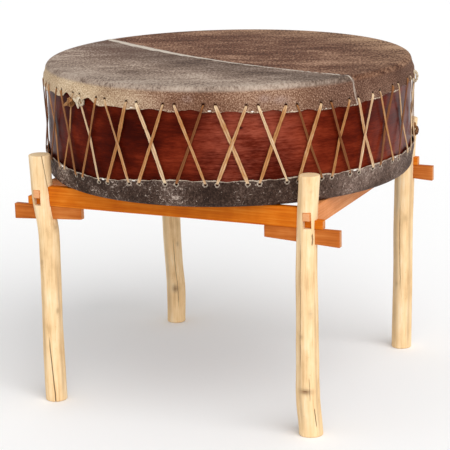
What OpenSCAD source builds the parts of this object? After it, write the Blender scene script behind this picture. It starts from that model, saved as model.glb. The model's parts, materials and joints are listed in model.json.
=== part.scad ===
// Large two-headed frame drum, laced with rawhide, resting on a knock-down stand.
// The stand is four peeled poles, tenoned rails and a driven wedge in every leg.
// Origin on the floor below the drum's axis, +Z up, X along the front and back rails,
// -Y towards the front. Millimetres.

/* [Drum] */
// Outside diameter over the upper hide, above the flare of its skirt
drum_d = 753; // [560:1:960]
// Height over both hides
drum_h = 231; // [190:1:300]
// Wall of the bent plank shell
shell_t = 15; // [10:1:22]
// Rounding of the shell's outer edges, under the hides
shell_edge_r = 12.5; // [8:0.5:13]
// Thickness of the upper hide
top_hide_t = 2.5; // [1.5:0.1:3.5]
// Thickness of the lower hide
bottom_hide_t = 3; // [1.5:0.1:4]
// How far the upper hide comes down over the shell
top_skirt = 44; // [40:1:60]
// How far the lower hide comes up over the shell
bottom_skirt = 52; // [40:1:70]
// Radial thickness of the hoops inside the shell
hoop_t = 12; // [8:1:20]
// Height of the hoops inside the shell
hoop_h = 25; // [15:1:35]

/* [Scarf joint of the shell] */
// Width of the glue line
scarf_gap = 0.6; // [0.3:0.1:1]
// Angle between the glue line and the shell's tangent
scarf_angle = 17; // [16:1:30]
// Diameter of the pegs through the scarf
peg_d = 6; // [4:0.5:8]
// Number of pegs, one above another
peg_count = 5; // [2:1:6]

/* [Lacing] */
// Pairs of lacing holes round each hide, a multiple of 4
lace_pairs = 32; // [24:4:36]
// Diameter of the rawhide lace
lace_d = 3; // [2:0.2:4]
// Diameter of a lacing hole
lace_hole_d = 6; // [5:0.5:8]
// Distance between the two holes of a pair
pair_gap = 22; // [16:1:26]
// From the upper hide's free edge to its holes
top_hole_inset = 13; // [8:1:16]
// From the lower hide's free edge to its holes
bottom_hole_inset = 8; // [6:1:14]
// Clearance between the lace and whatever it lies on
lace_gap = 0.3; // [0.2:0.1:0.5]

/* [Ties] */
// Thong diameter of the carrying loop
thong_d = 4; // [3:0.5:5]
// Width of the carrying loop, between thong centres
carry_loop_w = 10; // [9:0.5:12]
// Height of the carrying loop, between thong centres
carry_loop_h = 22; // [20:1:24]
// Diameter across the hanging tie loop, between thong centres
tie_loop_d = 24; // [20:1:30]

/* [Legs] */
// Leg diameters at the foot: front left, front right, back right, back left
leg_foot_d = [44, 48, 43, 42]; // [36:1:60]
// Leg diameters at the top, in the same order
leg_top_d = [42, 40, 43, 41]; // [36:1:56]
// Height of the leg tops above the rails
leg_rise = 63; // [40:1:100]
// How far a leg leans outwards, along X and along Y
leg_lean = 0.95; // [0:0.05:3]
// Clearance between the drum's lacing and the leg tops
leg_gap = 5.5; // [1:0.5:15]
// Chamfer round the leg tops
leg_chamfer = 1.5; // [0.5:0.5:4]

/* [Rails and wedges] */
// Height of the rails' upper edges, where the drum rests
rail_top_z = 456; // [300:1:700]
// Height of a rail
rail_h = 40; // [36:1:60]
// Thickness of a rail and of its tenons
rail_t = 15; // [12:0.5:17]
// Height of the front and back rails' tenons, level with their lower edge
long_tenon_h = 17.5; // [14:0.5:20]
// How far those tenons reach past the middle of the leg
long_tenon_reach = 28; // [26:1:36]
// Step down from a side rail's upper edge to its tenon
side_shoulder = 6; // [4:1:10]
// Fit between tenon and mortise, on each side
joint_fit = 0.3; // [0.2:0.05:0.5]
// How far the open mortise reaches below the side rail's tenon
mortise_spare = 15.5; // [10:0.5:17]
// Length of a wedge
wedge_l = 153; // [120:1:190]
// Thickness of a wedge
wedge_t = 12.5; // [10:0.5:15]
// Height of a wedge at its thin inner end
wedge_thin_h = 23; // [18:1:28]
// Height of a wedge at its thick outer end
wedge_thick_h = 32; // [28:1:40]
// How far the wedge reaches past the middle of the leg
wedge_reach = 61; // [45:1:90]

/* [Hidden] */
$fn = 96;

// Corners of the stand, in the order of the leg diameters.
CORNERS = [[-1, -1], [1, -1], [1, 1], [-1, 1]];

// Drum: every radius grows outwards from the shell.
shell_r = drum_d/2 - top_hide_t;
shell_inner_r = shell_r - shell_t;
flare = lace_d + 2*lace_gap;
rest_gap = 0.3;
drum_z0 = rail_top_z + rest_gap;
drum_z1 = drum_z0 + drum_h;
shell_z0 = drum_z0 + bottom_hide_t;
shell_z1 = drum_z1 - top_hide_t;
top_hole_z = drum_z1 - top_skirt + top_hole_inset;
bottom_hole_z = drum_z0 + bottom_skirt - bottom_hole_inset;

// Lacing: radii of the lace's middle line.
lace_r = lace_d/2;
lace_in_r = shell_r + lace_gap + lace_r;
lace_top_r = shell_r + top_hide_t + flare + lace_gap + lace_r;
lace_bottom_r = shell_r + bottom_hide_t + flare + lace_gap + lace_r;
cross_under_r = shell_r + top_hide_t + lace_r;
cross_over_r = cross_under_r + lace_d + 2*lace_gap;
lace_sides = 8;
pair_pitch = 360/lace_pairs;
half_pair = asin(pair_gap/2/shell_r);
pair_start = -105.5;
cross_z = (top_hole_z + bottom_hole_z)/2;
edge_rest = 3;
top_edge_z = drum_z1 - top_skirt - edge_rest;
bottom_edge_z = drum_z0 + bottom_skirt + edge_rest;

// Stand: the legs stand clear of the lacing at their tops, and lean out to there.
drum_clear_r = max(lace_top_r, lace_bottom_r) + lace_r;
leg_h = rail_top_z + leg_rise;
leg_top_off = (drum_clear_r + leg_gap + max(leg_top_d)/2)/sqrt(2);
rail_z0 = rail_top_z - rail_h;
joint_z = rail_z0 + long_tenon_h;
rail_off = leg_top_off - tan(leg_lean)*(leg_h - joint_z);
leg_foot_off = leg_top_off - tan(leg_lean)*leg_h;
side_tenon_z0 = joint_z + joint_fit;
side_tenon_z1 = rail_top_z - side_shoulder;
wedge_z1 = rail_z0 - joint_fit;
big = 4*drum_d;

// ---------- shared shapes ----------

// Point at an angle, a radius and a height.
function polar(a, r, z) = [r*cos(a), r*sin(a), z];
function unit(v) = v/norm(v);

// Angle of the middle of a pair of lacing holes.
function pair_a(k) = pair_start + k*pair_pitch;

// Radius of a leg at a height.
function leg_r(c, z) = (leg_foot_d[c] + (leg_top_d[c] - leg_foot_d[c])*z/leg_h)/2;

// Straight tapered pole of one corner, grown by extra all round its side.
module pole(c, extra = 0) {
  lean = atan(sqrt(2)*tan(leg_lean));
  below = 20;
  r0 = leg_r(c, -below) + extra;
  r1 = leg_r(c, leg_h) + extra;
  intersection() {
    translate([CORNERS[c][0]*leg_foot_off, CORNERS[c][1]*leg_foot_off, 0])
      rotate([0, lean, atan2(CORNERS[c][1], CORNERS[c][0])])
        translate([0, 0, -below])
          rotate_extrude()
            polygon([
              [0, 0],
              [r0, 0],
              [r1, leg_h + below - leg_chamfer],
              [r1 - leg_chamfer, leg_h + below],
              [0, leg_h + below]
            ]);
    translate([-big/2, -big/2, 0])
      cube([big, big, 2*leg_h]);
  }
}

// Wedge of one corner: level on top, its underside falling towards the outer end.
// Grown by extra at its sides and underside, and longer at both ends by longer.
module wedge_body(c, extra = 0, longer = 0) {
  x0 = rail_off + wedge_reach - wedge_l;
  fall = (wedge_thick_h - wedge_thin_h)/wedge_l;
  scale_x = CORNERS[c][0];
  translate([0, CORNERS[c][1]*rail_off + wedge_t/2 + extra, 0])
    rotate([90, 0, 0])
      linear_extrude(wedge_t + 2*extra)
        polygon([
          [scale_x*(x0 - longer), wedge_z1 + extra],
          [scale_x*(x0 - longer), wedge_z1 - wedge_thin_h - extra + fall*longer],
          [scale_x*(x0 + wedge_l + longer), wedge_z1 - wedge_thick_h - extra - fall*longer],
          [scale_x*(x0 + wedge_l + longer), wedge_z1 + extra]
        ]);
}

// Block between two corners, a and b.
module block(a, b) {
  translate(a)
    cube(b - a);
}

// ---------- stand ----------

// Leg with the side rail's mortise along Y, and the long tenon's and the wedge's along X.
module leg(c) {
  x = CORNERS[c][0]*rail_off;
  y = CORNERS[c][1]*rail_off;
  half = rail_t/2 + joint_fit;
  through = 2*leg_r(c, 0);
  color("wheat")
    difference() {
      pole(c);
      block([x - half, y - through, side_tenon_z0 - mortise_spare],
            [x + half, y + through, side_tenon_z1 + joint_fit]);
      block([x - through, y - half, rail_z0 - joint_fit],
            [x + through, y + half, joint_z + joint_fit]);
      wedge_body(c, joint_fit, 5);
    }
}

// Front or back rail: a board with a tenon along its lower edge at each end.
module long_rail(front) {
  y = front ? -rail_off : rail_off;
  reach = rail_off + long_tenon_reach;
  ends = front ? [0, 1] : [2, 3];
  color("darkorange")
    difference() {
      block([-reach, y - rail_t/2, rail_z0], [reach, y + rail_t/2, rail_top_z]);
      for (s = [-1, 1])
        translate([s*(rail_off + big/2), y, joint_z + big/2])
          cube([big, 2*rail_t, big], center = true);
      for (c = ends)
        intersection() {
          pole(c, joint_fit);
          translate([-big/2, -big/2, joint_z])
            cube([big, big, rail_h]);
        }
    }
}

// Side rail: a board whose tenon lies over the long rail's, below a short upper shoulder.
module side_rail(left) {
  x = left ? -rail_off : rail_off;
  ends = left ? [0, 3] : [1, 2];
  color("orange")
    difference() {
      union() {
        block([x - rail_t/2, -rail_off, rail_z0], [x + rail_t/2, rail_off, rail_top_z]);
        for (c = ends)
          side_tenon(c);
      }
      for (c = ends) {
        intersection() {
          pole(c, joint_fit);
          translate([-big/2, -big/2, side_tenon_z1])
            cube([big, big, rail_h]);
        }
        intersection() {
          pole(c, joint_fit);
          translate([-big/2, -big/2, side_tenon_z0 - rail_h])
            cube([big, big, rail_h]);
        }
      }
    }
}

// Tenon of a side rail at one corner, flush with the outer face of its leg.
module side_tenon(c) {
  reach = rail_off + leg_r(c, joint_z) + 0.5;
  x = CORNERS[c][0]*rail_off;
  y0 = min(0, CORNERS[c][1]*reach);
  block([x - rail_t/2, y0, side_tenon_z0], [x + rail_t/2, y0 + reach, side_tenon_z1]);
}

module wedge(c) {
  color("chocolate")
    wedge_body(c);
}

// ---------- drum ----------

// Half outline of a round-edged disc of radius r, edge rounding er and height h.
module rounded_half(r, er, h) {
  translate([0, er])
    square([r, h - er]);
  square([r - er, h]);
  translate([r - er, er])
    circle(er);
}

// Bent plank, closed by a long glued scarf at the back.
module shell() {
  color("maroon")
    difference() {
      intersection() {
        shell_edges(false);
        shell_edges(true);
      }
      scarf_cut();
      scarf_holes();
    }
}

// Shell ring, rounded at its upper edge, or at its lower one when turned over.
module shell_edges(turned) {
  h = shell_z1 - shell_z0;
  translate([0, 0, turned ? shell_z1 : shell_z0])
    mirror([0, 0, turned ? 1 : 0])
      rotate_extrude($fn = 180)
        difference() {
          rounded_half(shell_r, shell_edge_r, h);
          translate([-1, -1])
            square([shell_inner_r + 1, h + 2]);
        }
}

module scarf_cut() {
  middle_r = shell_r - shell_t/2;
  length = 4*shell_t/sin(scarf_angle);
  translate([0, middle_r, (shell_z0 + shell_z1)/2])
    rotate([0, 0, -scarf_angle])
      cube([length, scarf_gap, 2*drum_h], center = true);
}

// Height of the pegs: spread between the two inner hoops.
function peg_z(i) =
  let (low = shell_z0 + shell_edge_r + hoop_h + peg_d)
  let (high = shell_z1 - shell_edge_r - hoop_h - peg_d)
  low + (high - low)*i/(peg_count - 1);

module scarf_holes() {
  for (i = [0:peg_count - 1])
    translate([0, shell_inner_r - shell_t, peg_z(i)])
      rotate([-90, 0, 0])
        cylinder(h = 3*shell_t, d = peg_d, $fn = 32);
}

// Pegs through the scarf, cut flush inside and out.
module scarf_pegs() {
  color("saddlebrown")
    intersection() {
      scarf_holes();
      translate([0, 0, shell_z0])
        difference() {
          cylinder(h = shell_z1 - shell_z0, r = shell_r, $fn = 180);
          translate([0, 0, -1])
            cylinder(h = shell_z1 - shell_z0 + 2, r = shell_inner_r, $fn = 180);
        }
    }
}

module inner_hoop(upper) {
  z0 = upper ? shell_z1 - shell_edge_r - hoop_h : shell_z0 + shell_edge_r;
  color("peru")
    translate([0, 0, z0])
      rotate_extrude($fn = 180)
        translate([shell_inner_r - hoop_t, 0])
          square([hoop_t, hoop_h]);
}

// Half outline of a hide, from its flat face at 0 to its free edge at the skirt's depth.
// Past the rounded edge it stands out from the shell, to leave room for the lace behind it.
module hide_half(t, skirt, inset) {
  edge_r = shell_edge_r + t;
  out = skirt - inset - lace_hole_d/2 - 1;
  difference() {
    union() {
      rounded_half(shell_r + t, edge_r, skirt);
      polygon([
        [shell_r - t, edge_r],
        [shell_r + t, edge_r],
        [shell_r + t + flare, out],
        [shell_r + t + flare, skirt],
        [shell_r - t, skirt]
      ]);
    }
    translate([-1, t])
      rounded_inside(skirt, shell_edge_r);
    polygon([
      [shell_r - 2*t, edge_r],
      [shell_r, edge_r],
      [shell_r + flare, out],
      [shell_r + flare, skirt + 1],
      [shell_r - 2*t, skirt + 1]
    ]);
  }
}

// Space under a hide: the shell's own round-edged outline.
module rounded_inside(h, er) {
  translate([0, er])
    square([shell_r + 1, h]);
  square([shell_r + 1 - er, h]);
  translate([shell_r + 1 - er, er])
    circle(er);
}

// One hole through a hide at an angle and a height.
module lace_hole(a, z) {
  rotate([0, 0, a])
    translate([shell_r - lace_hole_d, 0, z])
      rotate([0, 90, 0])
        cylinder(h = 3*lace_hole_d, d = lace_hole_d, $fn = 32);
}

module lace_holes(z) {
  for (k = [0:lace_pairs - 1])
    for (s = [-1, 1])
      lace_hole(pair_a(k) + s*half_pair, z);
}

module top_head() {
  color("tan")
    difference() {
      translate([0, 0, drum_z1])
        mirror([0, 0, 1])
          rotate_extrude($fn = 180)
            hide_half(top_hide_t, top_skirt, top_hole_inset);
      lace_holes(top_hole_z);
      carry_loop_ring(thong_d/2 + lace_gap);
    }
}

module bottom_head() {
  color("dimgray")
    difference() {
      translate([0, 0, drum_z0])
        rotate_extrude($fn = 180)
          hide_half(bottom_hide_t, bottom_skirt, bottom_hole_inset);
      lace_holes(bottom_hole_z);
    }
}

// ---------- lacing ----------

// Angle of a strand at a height, between an upper hole and a lower hole.
function strand_a(top_a, bottom_a, z) =
  top_a + (bottom_a - top_a)*(top_hole_z - z)/(top_hole_z - bottom_hole_z);

// One stop of the lace: its place, and the way its section's first corner points
// (outwards by out, upwards by up).
function stop(a, r, z, out, up) = [polar(a, r, z), out*polar(a, 1, 0) + [0, 0, up]];

// Stops of the strand from an upper hole to a lower hole.
function strand(top_a, bottom_a, cross_r) = [
  stop(top_a, lace_top_r, top_hole_z, 1, 1),
  stop(strand_a(top_a, bottom_a, top_edge_z), lace_top_r, top_edge_z, 1, 0),
  stop((top_a + bottom_a)/2, cross_r, cross_z, 1, 0),
  stop(strand_a(top_a, bottom_a, bottom_edge_z), lace_bottom_r, bottom_edge_z, 1, 0),
  stop(bottom_a, lace_bottom_r, bottom_hole_z, 1, -1)
];

function backwards(list) = [for (i = [len(list) - 1:-1:0]) list[i]];

// Stops of one whole lace, twice round each pair of pitches: behind an upper pair,
// down to the next lower pair, behind it, and up again.
function lace_stops(first, cross_r) = [
  for (k = [first:2:first + lace_pairs - 2])
    let (a = pair_a(k), b = pair_a(k + 1), c = pair_a(k + 2))
      each concat(
        [stop(a - half_pair, lace_in_r, top_hole_z, 0, 1)],
        [stop(a + half_pair, lace_in_r, top_hole_z, 0, 1)],
        strand(a + half_pair, b - half_pair, cross_r),
        [stop(b - half_pair, lace_in_r, bottom_hole_z, 0, -1)],
        [stop(b + half_pair, lace_in_r, bottom_hole_z, 0, -1)],
        backwards(strand(c - half_pair, b + half_pair, cross_r))
      )
];

// Section of the lace at stop i: a ring of points square to the route.
function lace_ring(stops, i) =
  let (n = len(stops))
  let (p = stops[i][0])
  let (ahead = unit(stops[(i + 1) % n][0] - p))
  let (behind = unit(p - stops[(i + n - 1) % n][0]))
  let (t = unit(ahead + behind))
  let (u = unit(stops[i][1] - (stops[i][1]*t)*t))
  let (w = cross(t, u))
  [for (j = [0:lace_sides - 1]) p + lace_r*(cos(360*j/lace_sides)*u + sin(360*j/lace_sides)*w)];

// Closed tube through all the stops.
module lace(first, cross_r) {
  stops = lace_stops(first, cross_r);
  n = len(stops);
  m = lace_sides;
  points = [for (i = [0:n - 1]) each lace_ring(stops, i)];
  faces = [
    for (i = [0:n - 1], j = [0:m - 1])
      let (here = i*m, next = ((i + 1) % n)*m, k = (j + 1) % m)
        each [
          [here + j, next + j, next + k],
          [here + j, next + k, here + k]
        ]
  ];
  polyhedron(points, faces);
}

module lace_over() {
  color("khaki")
    lace(0, cross_over_r);
}

module lace_under() {
  color("burlywood")
    lace(1, cross_under_r);
}

// ---------- knots and loops ----------

// Ring of round section about the Z axis.
module ring(middle_r, section_r) {
  rotate_extrude($fn = 48)
    translate([middle_r, 0])
      circle(section_r, $fn = 24);
}

// Ring with two straight sides along Y and a half turn at each end.
module oval_ring(width, height, section_r) {
  side = height - width;
  for (s = [-1, 1]) {
    translate([s*width/2, -side/2, 0])
      rotate([-90, 0, 0])
        cylinder(r = section_r, h = side, $fn = 24);
    translate([0, s*side/2, 0])
      rotate([0, 0, 90*s - 90])
        rotate_extrude(angle = 180, $fn = 48)
          translate([width/2, 0])
            circle(section_r, $fn = 24);
  }
}

// Two turns of thong round a strand that starts at an upper hole, just below the hide.
module hitch(top_a, bottom_a, cross_r) {
  turn_r = (lace_top_r - lace_r - lace_gap - shell_r - lace_gap)/2;
  middle_r = lace_r + lace_gap + turn_r;
  z0 = drum_z1 - top_skirt - 2*turn_r;
  for (i = [0, 1])
    let (z = z0 - i*2*turn_r)
      translate(polar(strand_a(top_a, bottom_a, z), strand_r(z, cross_r), z))
        ring(middle_r, turn_r);
}

// Radius of a strand's middle line at a height above the crossing.
function strand_r(z, cross_r) =
  cross_r + (lace_top_r - cross_r)*(z - cross_z)/(top_edge_z - cross_z);

knot_pair = pair_a(lace_pairs - 1);

module rawhide_knot() {
  color("ivory")
    hitch(knot_pair + half_pair, knot_pair + pair_pitch - half_pair, cross_under_r);
}

module leather_knot() {
  color("sienna")
    hitch(knot_pair - half_pair, knot_pair - pair_pitch + half_pair, cross_under_r);
}

// Upright ring through a hole of its own in the upper skirt and round the skirt's free edge.
module carry_loop_ring(section_r) {
  a = pair_a(10) + pair_pitch/2;
  inner_r = shell_r + lace_gap + thong_d/2;
  middle_z = top_hole_z + thong_d/2 - carry_loop_h/2;
  translate(polar(a, inner_r + carry_loop_w/2, middle_z))
    rotate([90, 0, a])
      oval_ring(carry_loop_w, carry_loop_h, section_r);
}

module carry_loop() {
  color("ivory")
    carry_loop_ring(thong_d/2);
}

// Ring that hangs from one strand above the lower hide.
module tie_loop() {
  top_a = pair_a(12) - half_pair;
  bottom_a = pair_a(11) + half_pair;
  z = bottom_edge_z + 0.45*(cross_z - bottom_edge_z);
  section_r = 1.6;
  tilt = 50;
  inner_r = shell_r + 2*lace_gap + section_r;
  color("sienna")
    translate(polar(strand_a(top_a, bottom_a, z), inner_r, z))
      rotate([0, tilt, strand_a(top_a, bottom_a, z)])
        translate([tie_loop_d/2, 0, 0])
          ring(tie_loop_d/2, section_r);
}

leg(0);  // leg_front_left
leg(1);  // leg_front_right
leg(2);  // leg_back_right
leg(3);  // leg_back_left
long_rail(true);  // rail_front
long_rail(false);  // rail_back
side_rail(true);  // rail_left
side_rail(false);  // rail_right
wedge(0);  // wedge_front_left
wedge(1);  // wedge_front_right
wedge(2);  // wedge_back_right
wedge(3);  // wedge_back_left
shell();
scarf_pegs();
inner_hoop(true);  // upper_inner_hoop
inner_hoop(false);  // lower_inner_hoop
top_head();
bottom_head();
lace_over();
lace_under();
rawhide_knot();
leather_knot();
carry_loop();
tie_loop();
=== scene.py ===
import json
import math

import bpy
import numpy as np
from mathutils import Matrix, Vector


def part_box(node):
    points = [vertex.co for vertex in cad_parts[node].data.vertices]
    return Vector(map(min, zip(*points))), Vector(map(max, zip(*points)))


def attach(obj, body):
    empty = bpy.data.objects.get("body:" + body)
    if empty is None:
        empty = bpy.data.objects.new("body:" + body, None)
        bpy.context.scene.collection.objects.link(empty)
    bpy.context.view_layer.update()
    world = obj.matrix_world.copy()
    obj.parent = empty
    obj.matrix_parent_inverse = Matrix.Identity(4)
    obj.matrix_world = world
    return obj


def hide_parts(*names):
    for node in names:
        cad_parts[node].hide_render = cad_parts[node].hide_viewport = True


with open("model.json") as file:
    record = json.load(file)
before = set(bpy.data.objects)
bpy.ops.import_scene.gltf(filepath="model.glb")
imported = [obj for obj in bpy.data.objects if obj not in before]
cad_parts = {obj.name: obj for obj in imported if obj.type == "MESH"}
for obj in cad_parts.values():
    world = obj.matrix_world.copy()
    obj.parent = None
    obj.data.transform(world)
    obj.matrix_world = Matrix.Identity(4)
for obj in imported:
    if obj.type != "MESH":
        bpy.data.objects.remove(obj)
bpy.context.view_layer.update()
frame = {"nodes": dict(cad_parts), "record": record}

MM = 0.001
DEG = math.pi / 180

# ---------------------------------------------------------------- sizes of the drum and its stand

SHELL_LOW, SHELL_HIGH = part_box("shell")
SHELL_R = SHELL_HIGH.x
SHELL_WALL = 15 * MM
SHELL_ROUND = 12.5 * MM
UPPER_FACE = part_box("top_head")[1].z
UPPER_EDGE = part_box("top_head")[0].z
LOWER_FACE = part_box("bottom_head")[0].z
LOWER_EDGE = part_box("bottom_head")[1].z
UPPER_HIDE_T = 2.5 * MM
LOWER_HIDE_T = 3 * MM
FLARE = 3.6 * MM

SCARF_ARC = (3.4 * DEG - math.pi) * SHELL_R
KNOT_ARC = 27 * DEG * SHELL_R
KNOT_Z = 0.610

PAIRS = 32
PITCH = 2 * math.pi / PAIRS
PAIR_START = -105.5 * DEG
HALF_PAIR = 11 * MM
HOLE_R = 2.9 * MM
UPPER_INSET = 13 * MM
LOWER_INSET = 8 * MM

CORNERS = {"front_left": (-1, -1), "front_right": (1, -1), "back_right": (1, 1), "back_left": (-1, 1)}
FOOT = {m["name"][5:]: m["pos_m"] for m in frame["record"]["mounts"]}
POLE_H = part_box("leg_front_left")[1].z
POLE_LEAN = math.tan(0.95 * DEG)
RAIL_LOW, RAIL_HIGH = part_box("rail_front")
RAIL_Z0, RAIL_Z1 = RAIL_LOW.z, RAIL_HIGH.z
RAIL_OFF = -(RAIL_LOW.y + RAIL_HIGH.y) / 2
RAIL_HALF_T = (RAIL_HIGH.y - RAIL_LOW.y) / 2
TENON_REACH = RAIL_HIGH.x
TENON_Z = RAIL_Z0 + 17.5 * MM
SIDE_TENON_Z = (TENON_Z + 0.3 * MM, RAIL_Z1 - 6 * MM)
FIT = 0.3 * MM


# ---------------------------------------------------------------- numbers that wander

def wobble(t, seed, low=1.0, waves=5, whole=False):
    """Sum of sines of rising frequency and falling height, about one unit high.
    The frequencies are whole numbers where the line has to close on itself."""
    r = np.random.default_rng(seed)
    k = low * 1.8 ** np.arange(waves)
    k = np.round(k) if whole else k
    height = 1.5 ** -np.arange(waves)
    phase = r.uniform(0, 2 * math.pi, waves)
    return (np.sin(np.multiply.outer(t, k) + phase) * height).sum(-1) / height.sum() * 1.6


def ripple(a, z, seed, turns=7, rises=40.0, waves=14):
    """Sum of plane waves on a round surface, in the angle a and the height z: each makes a whole
    number of turns, so the surface closes. About one unit high."""
    r = np.random.default_rng(seed)
    total = np.zeros(np.broadcast(a, z).shape)
    turn_counts = r.integers(0, turns + 1, waves)
    climbs = r.uniform(-rises, rises, waves)
    phases = r.uniform(0, 6.28, waves)
    for k, m, phase in zip(turn_counts, climbs, phases):
        total += np.sin(k * a + m * z + phase)
    return total / math.sqrt(waves)


def smooth(t):
    """Smooth step: 0 below 0, 1 above 1."""
    t = np.clip(t, 0, 1)
    return t * t * (3 - 2 * t)


def bell(t):
    """Bell curve of height 1 and width 1."""
    return np.exp(-0.5 * np.square(t))


def turn_from(a, b):
    """Signed turn from the angle b in degrees to the angle a."""
    return (a - b * DEG + math.pi) % (2 * math.pi) - math.pi


# ---------------------------------------------------------------- skins made of rings of points

def grid_quads(rows, columns, wrap_rows=False):
    """Corner numbers of the quads of a grid of points, row after row, each row a closed ring.
    Faces look along column direction x row direction."""
    lower_rows = np.arange(rows if wrap_rows else rows - 1)
    r, c = np.meshgrid(lower_rows, np.arange(columns), indexing="ij")
    up = (r + 1) % rows * columns
    on = (c + 1) % columns
    r = r * columns
    return np.stack([r + c, r + on, up + on, up + c], -1).reshape(-1, 4)


def fan(first, count, centre, upward):
    """Triangles from a ring of count points, counted from first, to one centre point."""
    c = np.arange(count)
    here, on = first + c, first + (c + 1) % count
    middle = np.full(count, centre)
    return np.stack([middle, here, on] if upward else [middle, on, here], -1)


def new_piece(name, points, faces, finish, values=None, sharp=None):
    """Mesh object from points and from arrays of quads and triangles, smooth shaded.
    values are named numbers or vectors, one per point."""
    mesh = bpy.data.meshes.new(name)
    corners = [face for part in faces for face in part.tolist()]
    mesh.from_pydata(np.asarray(points, float).tolist(), [], corners)
    mesh.polygons.foreach_set("use_smooth", np.ones(len(mesh.polygons), bool))
    for key, value in (values or {}).items():
        value = np.asarray(value, np.float32)
        kind, field = ("FLOAT", "value") if value.ndim == 1 else ("FLOAT_VECTOR", "vector")
        mesh.attributes.new(key, kind, "POINT").data.foreach_set(field, value.ravel())
    if sharp:
        mesh.set_sharp_from_angle(angle=sharp)
    piece = bpy.data.objects.new(name, mesh)
    bpy.context.scene.collection.objects.link(piece)
    if finish:
        mesh.materials.append(finish)
    return piece


def closed_tube(name, rings, finish, values=None, sharp=None):
    """Rings of points joined one to the next, and closed at both ends with a centre point."""
    rows, columns, _ = rings.shape
    points = np.concatenate([rings.reshape(-1, 3), rings[:1].mean(1), rings[-1:].mean(1)])
    n = rows * columns
    faces = [
        grid_quads(rows, columns),
        fan(0, columns, n, False),
        fan(n - columns, columns, n + 1, True),
    ]
    with_ends = {}
    for key, value in (values or {}).items():
        listed = value.reshape((n,) + value.shape[2:])
        with_ends[key] = np.concatenate([listed, value[0, :1], value[-1, :1]])
    return new_piece(name, points, faces, finish, with_ends, sharp)


# ---------------------------------------------------------------- finishes

class Value:
    """A number that varies over a surface. Arithmetic on it adds Math nodes."""

    def __init__(self, finish, socket):
        self.finish, self.socket = finish, socket

    def _with(self, operation, other, turned=False):
        pair = (other, self) if turned else (self, other)
        return self.finish.math(operation, *pair)

    def __add__(self, other):
        return self._with("ADD", other)

    def __radd__(self, other):
        return self._with("ADD", other, True)

    def __sub__(self, other):
        return self._with("SUBTRACT", other)

    def __rsub__(self, other):
        return self._with("SUBTRACT", other, True)

    def __mul__(self, other):
        return self._with("MULTIPLY", other)

    def __rmul__(self, other):
        return self._with("MULTIPLY", other, True)

    def __pow__(self, other):
        return self._with("POWER", other)


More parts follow.
